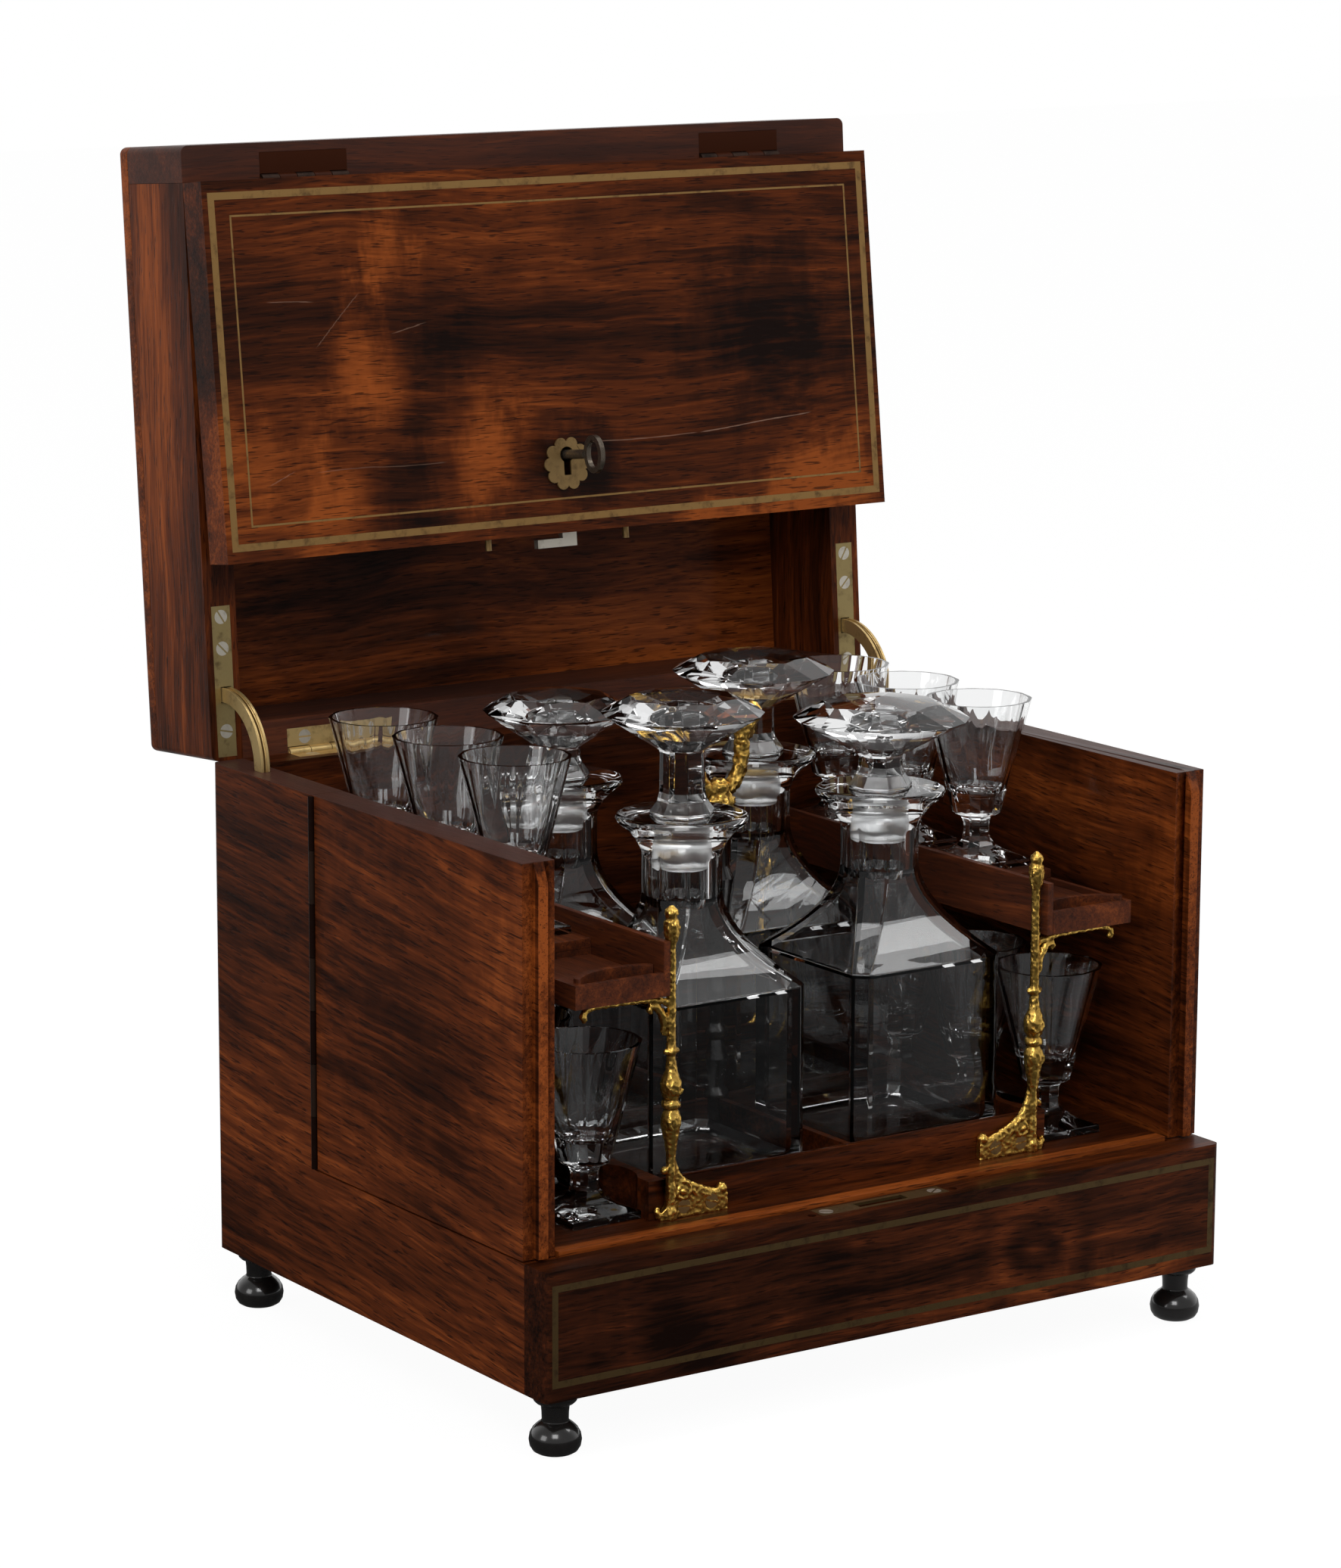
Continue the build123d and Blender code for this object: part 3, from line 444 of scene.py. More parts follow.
# %% Figure of the flap
flap_patches = patches_on(
    flap_box,
    (0.08, 0.33, 0.10, 0.14, 0.24),
    (0.18, 0.10, 0.06, 0.18, 0.27),
    (0.23, 0.54, 0.06, 0.24, 0.34),
    (0.40, 0.30, 0.07, 0.26, 0.45),
    (0.28, 0.80, 0.05, 0.20, 0.30),
    (0.45, 0.86, 0.30, 0.14, 0.13),
    (0.92, 0.12, 0.14, 0.18, 0.44),
    (0.76, 0.05, 0.12, 0.09, 0.40),
    (0.35, 0.50, 0.08, 0.20, -0.24),
    (0.86, 0.55, 0.14, 0.34, -0.24),
    (0.53, 0.24, 0.10, 0.14, -0.28),
    (0.28, 0.20, 0.08, 0.16, -0.30),
)
flap_marks = [
    (spot_on(flap_box, *start), spot_on(flap_box, *end), strength)
    for start, end, strength in (
        ((0.096, 0.71), (0.168, 0.70), 0.35),
        ((0.233, 0.72), (0.160, 0.575), 0.25),
        ((0.327, 0.64), (0.272, 0.61), 0.30),
        ((0.122, 0.270), (0.079, 0.237), 0.30),
        ((0.148, 0.257), (0.343, 0.262), 0.22),
        ((0.545, 0.302), (0.724, 0.307), 0.40),
        ((0.724, 0.307), (0.910, 0.330), 0.55),
    )
]
print("flap has", len(flap_patches), "patches and", len(flap_marks), "scratches")

# %% Figure of the plinth and the doors
plinth_patches = patches_on(
    plinth_box,
    (0.19, 0.55, 0.05, 0.30, -0.10),
    (0.10, 0.60, 0.07, 0.40, 0.12),
    (0.31, 0.40, 0.10, 0.40, 0.15),
    (0.46, 0.60, 0.10, 0.30, -0.10),
    (0.66, 0.25, 0.12, 0.24, 0.16),
    (0.90, 0.22, 0.12, 0.24, 0.20),
)
plinth_eyes = patches_on(plinth_box, (0.73, 0.55, 0.13, 0.80, 13))
door_depth, door_height = door_high[1] - door_low[1], door_high[2] - door_low[2]
door_patches = [
    (
        (side * door_high[0], door_low[1] + along * door_depth, door_low[2] + up * door_height),
        (50 * mm, wide, tall),
        lift,
    )
    for side in (1, -1)
    for along, up, wide, tall, lift in (
        (0.35, 0.85, 0.13, 0.045, 0.16),
        (0.10, 0.45, 0.04, 0.08, 0.10),
        (0.62, 0.42, 0.07, 0.06, -0.12),
    )
]
print("plinth has", len(plinth_patches), "patches, the doors", len(door_patches))

# %% Painted light on edges
bead_low, bead_high = door_high[0] - 9.6 * mm, door_high[0] - 4.8 * mm
bead_front = door_low[1] + 1.5 * mm
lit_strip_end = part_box("carrier_base")[0][1] + 6 * mm


def painted_bead_highlight_and_shade(finish, level):
    """A painted highlight on a bead between two strips of painted shade, on the door's front edge."""
    across = finish.axis("X").size()
    bead = finish.between(across, bead_low, bead_low + 0.4 * mm)
    bead = bead * (1 - finish.between(across, bead_high - 0.4 * mm, bead_high))
    ahead = 1 - finish.between(finish.axis("Y"), bead_front, bead_front + mm)
    # painted light: the bead is lifted as a highlight, and the strips beside it are darkened as shade
    return level + ahead * (bead * 0.55 - 0.35)


def painted_light_strip(finish, level):
    """A painted strip of light along the front edge of the carrier's base, where the top of its front rail is lit.
    """
    # painted light: the front strip is lifted in tone where the rail's top catches the light
    return level + (1 - finish.between(finish.axis("Y"), lit_strip_end - 0.5 * mm, lit_strip_end)) * 0.42


print("bead from", bead_low, "to", bead_high)

# %% Dress the boards
side_cut = {"slant": radians(5), "fine": 1.7, "plum_above": wall_top}
wood_dresses = (
    (("side_panels",), ("sides", "Y", 0.11, 0.6, 0.4), side_cut),
    (
        ("door_left", "door_right"),
        ("doors", "Y", 0.11, 0.6, 0.4),
        {**side_cut, "patches": door_patches, "edge": painted_bead_highlight_and_shade},
    ),
    (("lid_side_rails",), ("lid_sides", "Z", 0.10, 0.7, 0.5), {}),
    (("lid_front_rail", "lid_rear_rail"), ("lid_rails", "X", 0.05, 0.6, 0.5), {"fade": 0.5}),
    (("lid_top_board",), ("lid_board", "X", 0.26, 0.8, 0.5), {}),
    (("back_panel",), ("back", "X", -0.04, 0.6, 0.4), {}),
    (("inner_floor", "base_board"), ("floor", "X", -0.10, 0.4, 0.6), {}),
    (("flap_board",), ("flap", "X", 0.05, 0.6, 0.5), {"patches": flap_patches, "marks": flap_marks}),
    (("plinth_front",), ("plinth", "X", -0.09, 0.7, 0.5), {"patches": plinth_patches, "eyes": plinth_eyes}),
    (("tray_boards", "tray_rails"), ("trays", "Y", 0.16, 0.5, 0.5), {"fade": 0.25}),
    (("carrier_base",), ("carrier_base", "X", -0.06, 0.5, 0.5), {"edge": painted_light_strip}),
    (("carrier_rails",), ("carrier_rails", "X", -0.04, 0.5, 0.5), {}),
)
for names, (name, *look), extras in wood_dresses:
    dress(names, rosewood("rosewood_" + name, *look, **extras))
    print("rosewood_" + name, "on", *names)


# %% [markdown]
# The metals differ in age more than in kind. The stringing and the plates are brass gone brown and dull, the
# castings are gilt, bright on their high places and darkened in the hollows, and screws, hook and key
# are steel. One function covers them, with a tarnish that gathers in soft spots. Where a hinge's leaf is sunk in
# the wood, a crust of the wood's own colour covers it.

# %% Metals
def metal(name, bright, dark, roughness, spots=0.5, hollows=0.0, shine=0.8, crusted=None):
    """A metal that tarnishes in spots and darkens in its hollows. A crust may cover part of it."""
    finish = Finish(name)
    tarnish = finish.noise(finish.place, 160, 4, 0.6)
    mask = finish.between(tarnish, 0.62 - 0.3 * spots, 0.9 - 0.2 * spots)
    if hollows:
        sunk = finish.add("ShaderNodeNewGeometry", output="Pointiness")
        mask = mask.most((1 - finish.between(sunk, 0.46, 0.53)) * hollows)
    brushed = finish.noise(finish.stretched(finish.place, (1, 6, 1)), 700, 2, 0.7)
    colour = finish.mix(mask, bright, dark)
    if crusted:
        letter, start, end, crust_colour = crusted
        crust = finish.between(finish.axis(letter), start, end)
        colour = finish.mix(crust, colour, crust_colour)
        shine = (1 - crust) * shine
        finish.set(Specular_IOR_Level=wood_shine)
    finish.set(
        Base_Color=colour,
        Metallic=shine,
        Roughness=mask * 0.25 + brushed * 0.12 + (roughness - 0.06),
    )
    finish.bumped(brushed + tarnish, 0.12, 0.2 * mm)
    return finish.material


metals = {
    "stringing_brass": ((0.34, 0.195, 0.066), (0.11, 0.060, 0.025), 0.42),
    "dulled_brass": ((0.13, 0.080, 0.030), (0.05, 0.027, 0.012), 0.46),
    "aged_brass": ((0.66, 0.47, 0.20), (0.25, 0.16, 0.065), 0.36),
    "olive_brass": ((0.36, 0.27, 0.115), (0.13, 0.085, 0.036), 0.36),
    "browned_brass": ((0.30, 0.19, 0.075), (0.10, 0.058, 0.024), 0.40),
    "near_black_brass": ((0.030, 0.014, 0.008), (0.012, 0.007, 0.005), 0.50),
    "worn_steel": ((0.66, 0.61, 0.52), (0.26, 0.21, 0.15), 0.34),
    "dark_steel": ((0.13, 0.105, 0.08), (0.04, 0.030, 0.022), 0.28),
}
finishes = {name: metal(name, *tones) for name, tones in metals.items()}
gilt = metal(
    "gilt_bronze", (0.90, 0.56, 0.125), (0.12, 0.050, 0.010), 0.27, spots=0.3, hollows=0.9, shine=1.0
)
lid_crust, case_crust = ("Z", 420 * mm, 421 * mm, wood_brown), ("Y", 41 * mm, 40 * mm, wood_black)
lid_hinge_brass = metal("lid_hinge_brass", *metals["aged_brass"], crusted=lid_crust)
case_hinge_brass = metal("case_hinge_brass", *metals["aged_brass"], crusted=case_crust)
print("metals", list(finishes), gilt.name, lid_hinge_brass.name, case_hinge_brass.name)

# %% Dress the metal
metal_dresses = (
    (("flap_stringing",), finishes["stringing_brass"]),
    (("plinth_band", "strike_plate"), finishes["dulled_brass"]),
    (("stay_plates",), finishes["olive_brass"]),
    (("stay_left", "stay_right"), finishes["aged_brass"]),
    (("lid_hinge_leaves",), lid_hinge_brass),
    (("case_hinge_leaves",), case_hinge_brass),
    (("escutcheon", "lock_case", "support_screws"), finishes["browned_brass"]),
    # the leaves of the flap's and the doors' hinges are drawn near black
    (("flap_hinge_leaves", "door_hinge_leaf_left", "door_hinge_leaf_right"), finishes["near_black_brass"]),
    (("case_screws", "lid_screws", "lock_hook"), finishes["worn_steel"]),
    (("key",), finishes["dark_steel"]),
    (("gilt_supports", "handle"), gilt),
)
for names, finish in metal_dresses:
    dress(names, finish)
    print(finish.name, "on", *names)


# %% [markdown]
# The feet and the carrier's column are turned from a pale wood, stained black and polished until they shine
# like jet. A trace of noise in the roughness keeps the shine from looking like plastic.

# %% Ebonised wood
def ebonised():
    """Black stained wood under a hard polish."""
    finish = Finish("ebonised_wood")
    grain = finish.noise(finish.stretched(finish.place, (1, 1, 0.1)), 300, 3)
    finish.set(
        Base_Color=finish.mix(grain, (0.004, 0.004, 0.004), (0.012, 0.010, 0.009)),
        Roughness=grain * 0.1 + 0.16,
        Coat_Weight=0.6,
        Coat_Roughness=0.05,
    )
    return finish.material


ebony = ebonised()
dress(["feet", "column"], ebony)
print("ebonised", ebony.name)


# %% [markdown]
# The glass and the castings need finer meshes than the frame has. A few bench tools do for all of them. A piece
# starts as one primitive, alone in the selection. A ring of corners is drawn up from height to height, and each
# new ring is spread or drawn in around the axis, as a turner or a potter does. A cutter's wheel is a plane that
# takes off all that lies outside it. Parts are then joined or hollowed with a Boolean modifier, and the finished
# mesh stands in for its node of the frame and rides on that node's body.

# %% Drawing up
def fresh(name, add, **settings):
    """Starts a piece from a primitive that is alone in the selection, and opens it for shaping."""
    bpy.ops.object.select_all(action="DESELECT")
    add(**settings)
    piece = bpy.context.object
    piece.name = piece.data.name = name
    bpy.ops.object.mode_set(mode="EDIT")
    return piece


def pick(rule):
    """Selects the corners of the piece in hand that a rule picks by their place."""
    shape = bmesh.from_edit_mesh(bpy.context.object.data)
    for corner in shape.verts:
        corner.select_set(rule(corner.co))
    shape.select_flush_mode()
    bmesh.update_edit_mesh(bpy.context.object.data)


def pick_top(rule=lambda place: True):
    """Selects the highest ring of corners, or those of it that a rule picks."""
    shape = bmesh.from_edit_mesh(bpy.context.object.data)
    top = max(corner.co.z for corner in shape.verts)
    pick(lambda place: top - place.z < 1e-6 and rule(place))


def spread(x, y):
    """Draws the selected corners away from the axis, or in towards it."""
    bpy.ops.transform.resize(value=(x, y, 1), center_override=(0, 0, 0))


def draw_up(height):
    """Extrudes the highest ring of corners to a height above the origin."""
    shape = bmesh.from_edit_mesh(bpy.context.object.data)
    top = max(corner.co.z for corner in shape.verts)
    pick_top()
    bpy.ops.mesh.extrude_region_move(TRANSFORM_OT_translate={"value": (0, 0, height - top)})


def close_up():
    """Closes the ends of a drawn piece, turns its faces outwards and leaves edit mode."""
    bpy.ops.mesh.select_all(action="SELECT")
    bpy.ops.mesh.remove_doubles(threshold=1e-6)
    bpy.ops.mesh.fill_holes(sides=0)
    bpy.ops.mesh.normals_make_consistent(inside=False)
    bpy.ops.object.mode_set(mode="OBJECT")
    bpy.ops.object.transform_apply(location=True, rotation=True, scale=True)


def turned(name, profile, sides):
    """A piece of the lathe: a ring drawn up through (height, radius) steps, in millimetres."""
    (height, radius), *steps = profile
    piece = fresh(name, bpy.ops.mesh.primitive_circle_add, vertices=sides, radius=radius * mm)
    bpy.ops.transform.translate(value=(0, 0, height * mm))
    for height, next_radius in steps:
        draw_up(height * mm)
        spread(next_radius / radius, next_radius / radius)
        radius = next_radius
    close_up()
    return piece


print("turning ready")


# %% Eight-sided pieces and cuts
eighth_turn, eighth_side = pi / 8, tan(pi / 8)


def squared(name, profile):
    """A piece of eight sides, drawn up through steps of height, half width and half length of its flats."""
    piece = fresh(name, bpy.ops.mesh.primitive_circle_add, vertices=8, radius=mm, rotation=(0, 0, eighth_turn))
    bpy.ops.object.mode_set(mode="OBJECT")
    bpy.ops.object.transform_apply(location=False, rotation=True, scale=False)
    bpy.ops.object.mode_set(mode="EDIT")
    bpy.ops.transform.translate(value=(0, 0, profile[0][0] * mm))
    last_wide, last_flat = cos(eighth_turn), sin(eighth_turn)
    for index, (height, wide, flat) in enumerate(profile):
        if index:
            draw_up(height * mm)
        pick_top(lambda place: abs(place.x) > abs(place.y))
        spread(wide / last_wide, flat / last_flat)
        pick_top(lambda place: abs(place.x) < abs(place.y))
        spread(flat / last_flat, wide / last_wide)
        last_wide, last_flat = wide, flat
    close_up()
    return piece


def cut(turn, low, high):
    """Cuts the piece in hand flat, through two (height, reach) points that face the way of turn."""
    across = Vector((cos(turn), sin(turn), 0))
    rise, run = high[0] - low[0], high[1] - low[1]
    bpy.ops.mesh.select_all(action="SELECT")
    bpy.ops.mesh.bisect(
        plane_co=(across * low[1] + Vector((0, 0, low[0]))) * mm,
        plane_no=(across * rise - Vector((0, 0, run))).normalized(),
        use_fill=True,
        clear_outer=True,
    )


print("cutting ready")


# %% Joining and polishing
def alone(piece):
    """Selects a piece and nothing else."""
    bpy.ops.object.select_all(action="DESELECT")
    piece.select_set(True)
    bpy.context.view_layer.objects.active = piece


def carve(piece, tool, way):
    """Joins a tool to the piece, or takes it out of it, and puts the tool away."""
    alone(piece)
    carving = piece.modifiers.new(way.lower(), "BOOLEAN")
    carving.operation = way
    carving.solver = "EXACT"
    carving.object = tool
    bpy.ops.object.modifier_apply(modifier=carving.name)
    bpy.data.objects.remove(tool)


def smooth(piece, angle):
    """Lets the round parts shade smoothly, and keeps the cut edges crisp and the broad panels flat."""
    alone(piece)
    bpy.ops.object.shade_smooth_by_angle(angle=radians(angle))
    flat = piece.modifiers.new("flat", "WEIGHTED_NORMAL")
    flat.keep_sharp = True
    bpy.ops.object.modifier_apply(modifier=flat.name)


def polish(piece, width, angle):
    """Breaks the sharp edges by a hair, so that they catch the light."""
    alone(piece)
    edge = piece.modifiers.new("polish", "BEVEL")
    edge.width = width * mm
    edge.segments = 2
    edge.limit_method = "ANGLE"
    edge.angle_limit = radians(angle)
    bpy.ops.object.modifier_apply(modifier=edge.name)


print("joining ready")


# %% Standing in for nodes
def stand_in(name, mesh, node, body, finish):
    """An object for a finished mesh, which stands for a node and rides on a body."""
    piece = bpy.data.objects.new(name, mesh)
    mesh.name = name
    bpy.context.collection.objects.link(piece)
    mesh.materials.clear()
    mesh.materials.append(finish)
    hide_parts(node)
    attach(piece, body)


def settle(pattern, node, body, place, finish):
    """Sets a copy of a pattern at its place, where it stands for a node."""
    mesh = pattern.data.copy()
    mesh.transform(Matrix.Translation(place))
    stand_in("fine_" + node, mesh, node, body, finish)


def gathered(pattern, moves):
    """One mesh of several copies of a pattern. A copy that a move mirrors has its faces turned back."""
    gather = bmesh.new()
    for move in moves:
        corners_before, faces_before = len(gather.verts), len(gather.faces)
        gather.from_mesh(pattern.data)
        gather.verts.ensure_lookup_table()
        gather.faces.ensure_lookup_table()
        bmesh.ops.transform(gather, matrix=move, verts=gather.verts[corners_before:])
        if move.determinant() < 0:
            bmesh.ops.reverse_faces(gather, faces=gather.faces[faces_before:])
    mesh = bpy.data.meshes.new(pattern.name)
    gather.to_mesh(mesh)
    gather.free()
    bpy.data.objects.remove(pattern)
    return mesh


print("stand-ins ready")

# %% [markdown]
# Lead crystal is clear with hardly any colour of its own, and all its look is in what it bends and throws back.
# The plugs of the stoppers are ground to fit their necks, so there the surface is rough and milky. The ground
# part is a band of heights in the piece's own place, and it only changes the roughness.

# %% Crystal
def crystal(name, ground=None):
    """Clear crystal, with a band of heights that is ground dull, in metres above the floor."""
    finish = Finish(name)
    roughness = 0.0
    if ground:
        (low, high), soft, dull = ground, 0.4 * mm, 0.28
        height = finish.axis("Z")
        band = finish.between(height, low, low + soft)
        roughness = band * (1 - finish.between(height, high - soft, high)) * dull
    finish.set(
        Base_Color=(0.985, 0.99, 0.992, 1),
        Roughness=roughness,
        IOR=1.52,
        Transmission_Weight=1.0,
    )
    waves = finish.noise(finish.place, 70, 2)
    finish.bumped(waves, 0.03, 0.5 * mm)
    return finish.material


clear = crystal("clear_crystal")
print("crystal", clear.name)

# %% [markdown]
# A cordial glass is blown thick and then cut. Twelve flat panels run up the bowl and die into the round rim,
# and the stem is an octagon that sweeps down into a square foot. The bowl is turned round first, twelve cuts take
# the panels off it, and a second turning hollows it. The stem is drawn up in eight sides from the square foot.

# %% Cordial glass
glass_rings = ((21.5, 9.2), (22.6, 10.6), (70, 22.25))
glass_hollow = ((31, 5), (31.5, 8.4), (32.8, 10.4), (35.5, 11.7), (40, 13.0), (71, 20.9))
glass_stem = (
    (0, 15.7, 15.3),
    (0.3, 16.0, 15.6),
    (2.9, 16.0, 15.6),
    (3.2, 15.8, 15.3),
    (4.6, 12.6, 10.6),
    (6.0, 9.8, 6.4),
    (8.0, 7.2, 3.8),
    (10.5, 5.6, 2.5),
    (14.0, 5.1, 2.2),
    (18.0, 5.2, 2.2),
    (20.0, 6.0, 2.6),
    (22.0, 7.6, 3.2),
    (24.0, 8.6, 3.6),
)
glass_panels = 12
panel_low, panel_high = (22, 9.95), (70, 21.75)
print("glass", glass_rings[-1][0], "mm high, rim", 2 * glass_rings[-1][1], "mm wide")

# %% Cutting the glass
glass = turned("cordial_glass", glass_rings, 96)
bpy.ops.object.mode_set(mode="EDIT")
for panel in range(glass_panels):
    cut(2 * pi * (panel + 0.5) / glass_panels, panel_low, panel_high)
bpy.ops.object.mode_set(mode="OBJECT")
carve(glass, squared("glass_stem", glass_stem), "UNION")
carve(glass, turned("glass_hollow", glass_hollow, 72), "DIFFERENCE")
smooth(glass, 22)
print("glass", len(glass.data.polygons), "faces", glass.dimensions[:])

# %% Glasses in their places
glass_nodes = [name for name in nodes if "_glass_" in name]
for name in glass_nodes:
    low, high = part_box(name)
    middle = (Vector(low) + Vector(high)) / 2
    settle(glass, name, name, (middle.x, middle.y, low[2]), clear)
bpy.data.objects.remove(glass)
print("glasses set", len(glass_nodes))

# %% [markdown]
# A decanter is a square bottle with cut corners. Its shoulders sweep in hollow curves to an eight-sided neck,
# and a round lip is opened out of the neck while the glass is soft. So the body is drawn up in eight sides, the
# lip is turned and joined to it, and where the flat panels of the neck meet the round flare they end in arches.

# %% Outlines of the decanter
shoulder_steps, shoulder_bend = 12, 1.9


def shoulder(low, high, wide, flat, neck):
    """Steps of a shoulder that sweeps in a hollow curve from a square body to an eight-sided neck."""
    neck_flat = neck * eighth_side
    steps = []
    for step in range(shoulder_steps + 1):
        share = step / shoulder_steps
        left = (1 - share) ** shoulder_bend
        height = low + share * (high - low)
        steps.append((height, neck + (wide - neck) * left, neck_flat + (flat - neck_flat) * left))
    return steps


body_half, body_cut, foot_round, neck_half = 37.0, 5.0, 1.6, 15.2
decanter_body = (
    (0, body_half - foot_round, body_half - body_cut - foot_round),
    (foot_round, body_half, body_half - body_cut),
    *shoulder(79.5, 116.0, body_half, body_half - body_cut, neck_half),
    (142, neck_half, neck_half * eighth_side),
)
decanter_hollow = (
    *((8, 24, 21), (9, 28.5, 25), (11.5, 31, 27), (14, 31.5, 27.5)),
    *shoulder(77, 113, 31.5, 27.5, 9.6),
)
decanter_bore = ((106, 6.0), (109, 9.5), (114, 11.9), (148, 11.9))
decanter_lip = (
    (126, 13.6),
    (128, 15.0),
    (131, 15.9),
    (134, 17.0),
    (137, 18.7),
    (139.5, 20.7),
    (141.5, 22.9),
    (143.1, 25.0),
    (144.2, 26.1),
    (145.2, 26.5),
    (146.2, 26.1),
    (146.8, 25.0),
    (147.0, 23.4),
)
print("decanter", decanter_lip[-1][0], "mm high")

# %% Blowing and cutting the decanter
decanter = squared("decanter", decanter_body)
polish(decanter, 0.5, 22)
carve(decanter, turned("decanter_lip", decanter_lip, 72), "UNION")
hollow = squared("decanter_hollow", decanter_hollow)
carve(hollow, turned("decanter_bore", decanter_bore, 72), "UNION")
carve(decanter, hollow, "DIFFERENCE")
smooth(decanter, 22)
print("decanter", len(decanter.data.polygons), "faces", decanter.dimensions[:])

# %% Decanters in their places
corners = ("front_left", "front_right", "back_left", "back_right")
decanter_places = {}
for corner in corners:
    low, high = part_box("decanter_" + corner)
    decanter_places[corner] = (Vector(low) + Vector(high)) / 2
    spot = (decanter_places[corner].x, decanter_places[corner].y, low[2])
    settle(decanter, "decanter_" + corner, "decanter_" + corner, spot, clear)
bpy.data.objects.remove(decanter)
print("decanters set", len(corners))

# %% [markdown]
# Each stopper is a mushroom of crystal, cut like a gem. A round blank is ground to a knife edge by sixteen cuts
# above it, every other one steeper, and twice sixteen below it, and sixteen low cuts close the dome. The stalk is
# an octagon that opens at its foot, and the plug below is round and ground dull. No two of them match in height.

# %% Stopper sizes
stopper_heads = {
    "front_left": (39.5, 32.5),
    "front_right": (27.5, 36.0),
    "back_left": (26.5, 31.0),
    "back_right": (33.5, 34.0),
}
stopper_facets = 16
stalk_foot = ((0, 12.2), (0.8, 12.3), (2.6, 11.0), (5.0, 9.4), (8.5, 8.6))
plug_rings = ((-22, 9.8), (-21.3, 11.2), (-20.2, 11.6), (0.5, 11.8))
stopper_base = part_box("decanter_front_left")[1][2] + 0.25 * mm
ground = crystal("ground_crystal", (stopper_base - 22.5 * mm, stopper_base - 1.2 * mm))
print("stoppers stand at", stopper_base)


# %% Cutting the stoppers
def gem(girdle, reach, under):
    """The cut head of a stopper, by the height and the reach of its edge and the height where it begins."""
    head = turned("stopper_head", ((under, reach), (girdle + 9.5, reach)), 64)
    bpy.ops.object.mode_set(mode="EDIT")
    for facet in range(stopper_facets):
        turn = 2 * pi * facet / stopper_facets
        between = turn + pi / stopper_facets
        cut(turn, (girdle + 1.0, reach * 0.955), (girdle + 8.5, reach * (0.50 if facet % 2 else 0.56)))
        cut(turn, (under, 9.4), (girdle, reach * 0.955))
        cut(between, (under + 5, reach * 0.66), (girdle - 0.4, reach * 0.975))
        cut(between, (girdle + 7.0, reach * 0.56), (girdle + 9.4, 0))
    bpy.ops.object.mode_set(mode="OBJECT")
    polish(head, 0.25, 14)
    return head


for corner, (girdle, reach) in stopper_heads.items():
    under = girdle - 14
    head = gem(girdle, reach, under)
    stalk_steps = (*stalk_foot, (under - 1, 8.5), (under + 2, 9.6), (under + 5, 12.0))
    stalk = squared("stopper_stalk", [(height, half, half * eighth_side) for height, half in stalk_steps])
    polish(stalk, 0.25, 30)
    carve(head, stalk, "UNION")
    carve(head, turned("stopper_plug", plug_rings, 96), "UNION")
    smooth(head, 7)
    spot = (decanter_places[corner].x, decanter_places[corner].y, stopper_base)
    settle(head, "stopper_" + corner, "stopper_" + corner, spot, ground)
    print("stopper", corner, len(head.data.polygons), "faces", head.dimensions[:])
    bpy.data.objects.remove(head)


# %% [markdown]
# The gilt supports are cast bronze: a fluted rod with a leafy bud on top, an arm under the tray with a scroll
# below it, a baluster, and a foot that runs down to two screws. Each is built from drawn and swept parts that
# overlap, fused by a remesh, and then roughened a little by a displacement, as the chaser's tools leave it.

# %% Fluted rods
def fluted(name, profile, sides):
    """A turned piece with every other corner drawn in: steps of height, radius and depth of the flutes."""
    height, radius, last = profile[0][0], profile[0][1], 0
    piece = fresh(name, bpy.ops.mesh.primitive_circle_add, vertices=sides, radius=radius * mm)
    bpy.ops.transform.translate(value=(0, 0, height * mm))

    def groove(place):
        return round(Vector(place.xy).angle_signed(Vector((0, 1))) / (2 * pi / sides)) % 2 == 1

    for height, next_radius, flute in profile:
        draw_up(height * mm)
        pick_top()
        spread(next_radius / radius, next_radius / radius)
        pick_top(groove)
        spread((1 - flute) / (1 - last), (1 - flute) / (1 - last))
        radius, last = next_radius, flute
    close_up()
    return piece


print("fluting ready")


# %% Scrolls
def swept(name, path, sides=10):
    """A scroll: a ring carried along a flat path of (across, height, radius) points, turning with it."""
    angles = []
    for place in range(len(path)):
        before, after = path[max(place - 1, 0)], path[min(place + 1, len(path) - 1)]
        angles.append(atan2(after[0] - before[0], after[1] - before[1]))
    across, height, radius = path[0]
    piece = fresh(
        name,
        bpy.ops.mesh.primitive_circle_add,
        vertices=sides,
        radius=radius * mm,
        rotation=(0, angles[0], 0),
    )
    bpy.ops.transform.translate(value=(across * mm, 0, height * mm))
    spot = Vector((across, 0, height)) * mm
    for (across, height, next_radius), angle, last_angle in zip(path[1:], angles[1:], angles):
        step = Vector((across, 0, height)) * mm - spot
        spot = spot + step
        bpy.ops.mesh.extrude_region_move(TRANSFORM_OT_translate={"value": step})
        turn = (angle - last_angle + pi) % (2 * pi) - pi
        bpy.ops.transform.rotate(value=-turn, orient_axis="Y", center_override=spot)
        share = next_radius / radius
        bpy.ops.transform.resize(value=(share, share, share), center_override=spot)
        radius = next_radius
    close_up()
    return piece


def spiral(middle, start, turns, radii, thick, count=22):
    """Points of a volute about a middle, from an angle in degrees, drawing in as it turns."""
    points = []
    for step in range(count + 1):
        share = step / count
        angle = radians(start + 360 * turns * share)
        reach = radii[0] + (radii[1] - radii[0]) * share
        radius = thick[0] + (thick[1] - thick[0]) * share
        points.append((middle[0] + reach * cos(angle), middle[1] + reach * sin(angle), radius))
    return points


def both_sides(name, path):
    """A scroll and its mirror image."""
    return [swept(name + "_right", path), swept(name + "_left", [(-x, z, r) for x, z, r in path])]


print("scrolls ready")


# %% Bosses and plates
def bud(name, place, radius):
    """A small round boss at (across, depth, height)."""
    piece = fresh(name, bpy.ops.mesh.primitive_uv_sphere_add, segments=16, ring_count=10, radius=radius * mm)
    bpy.ops.transform.translate(value=Vector(place) * mm)
    close_up()
    return piece


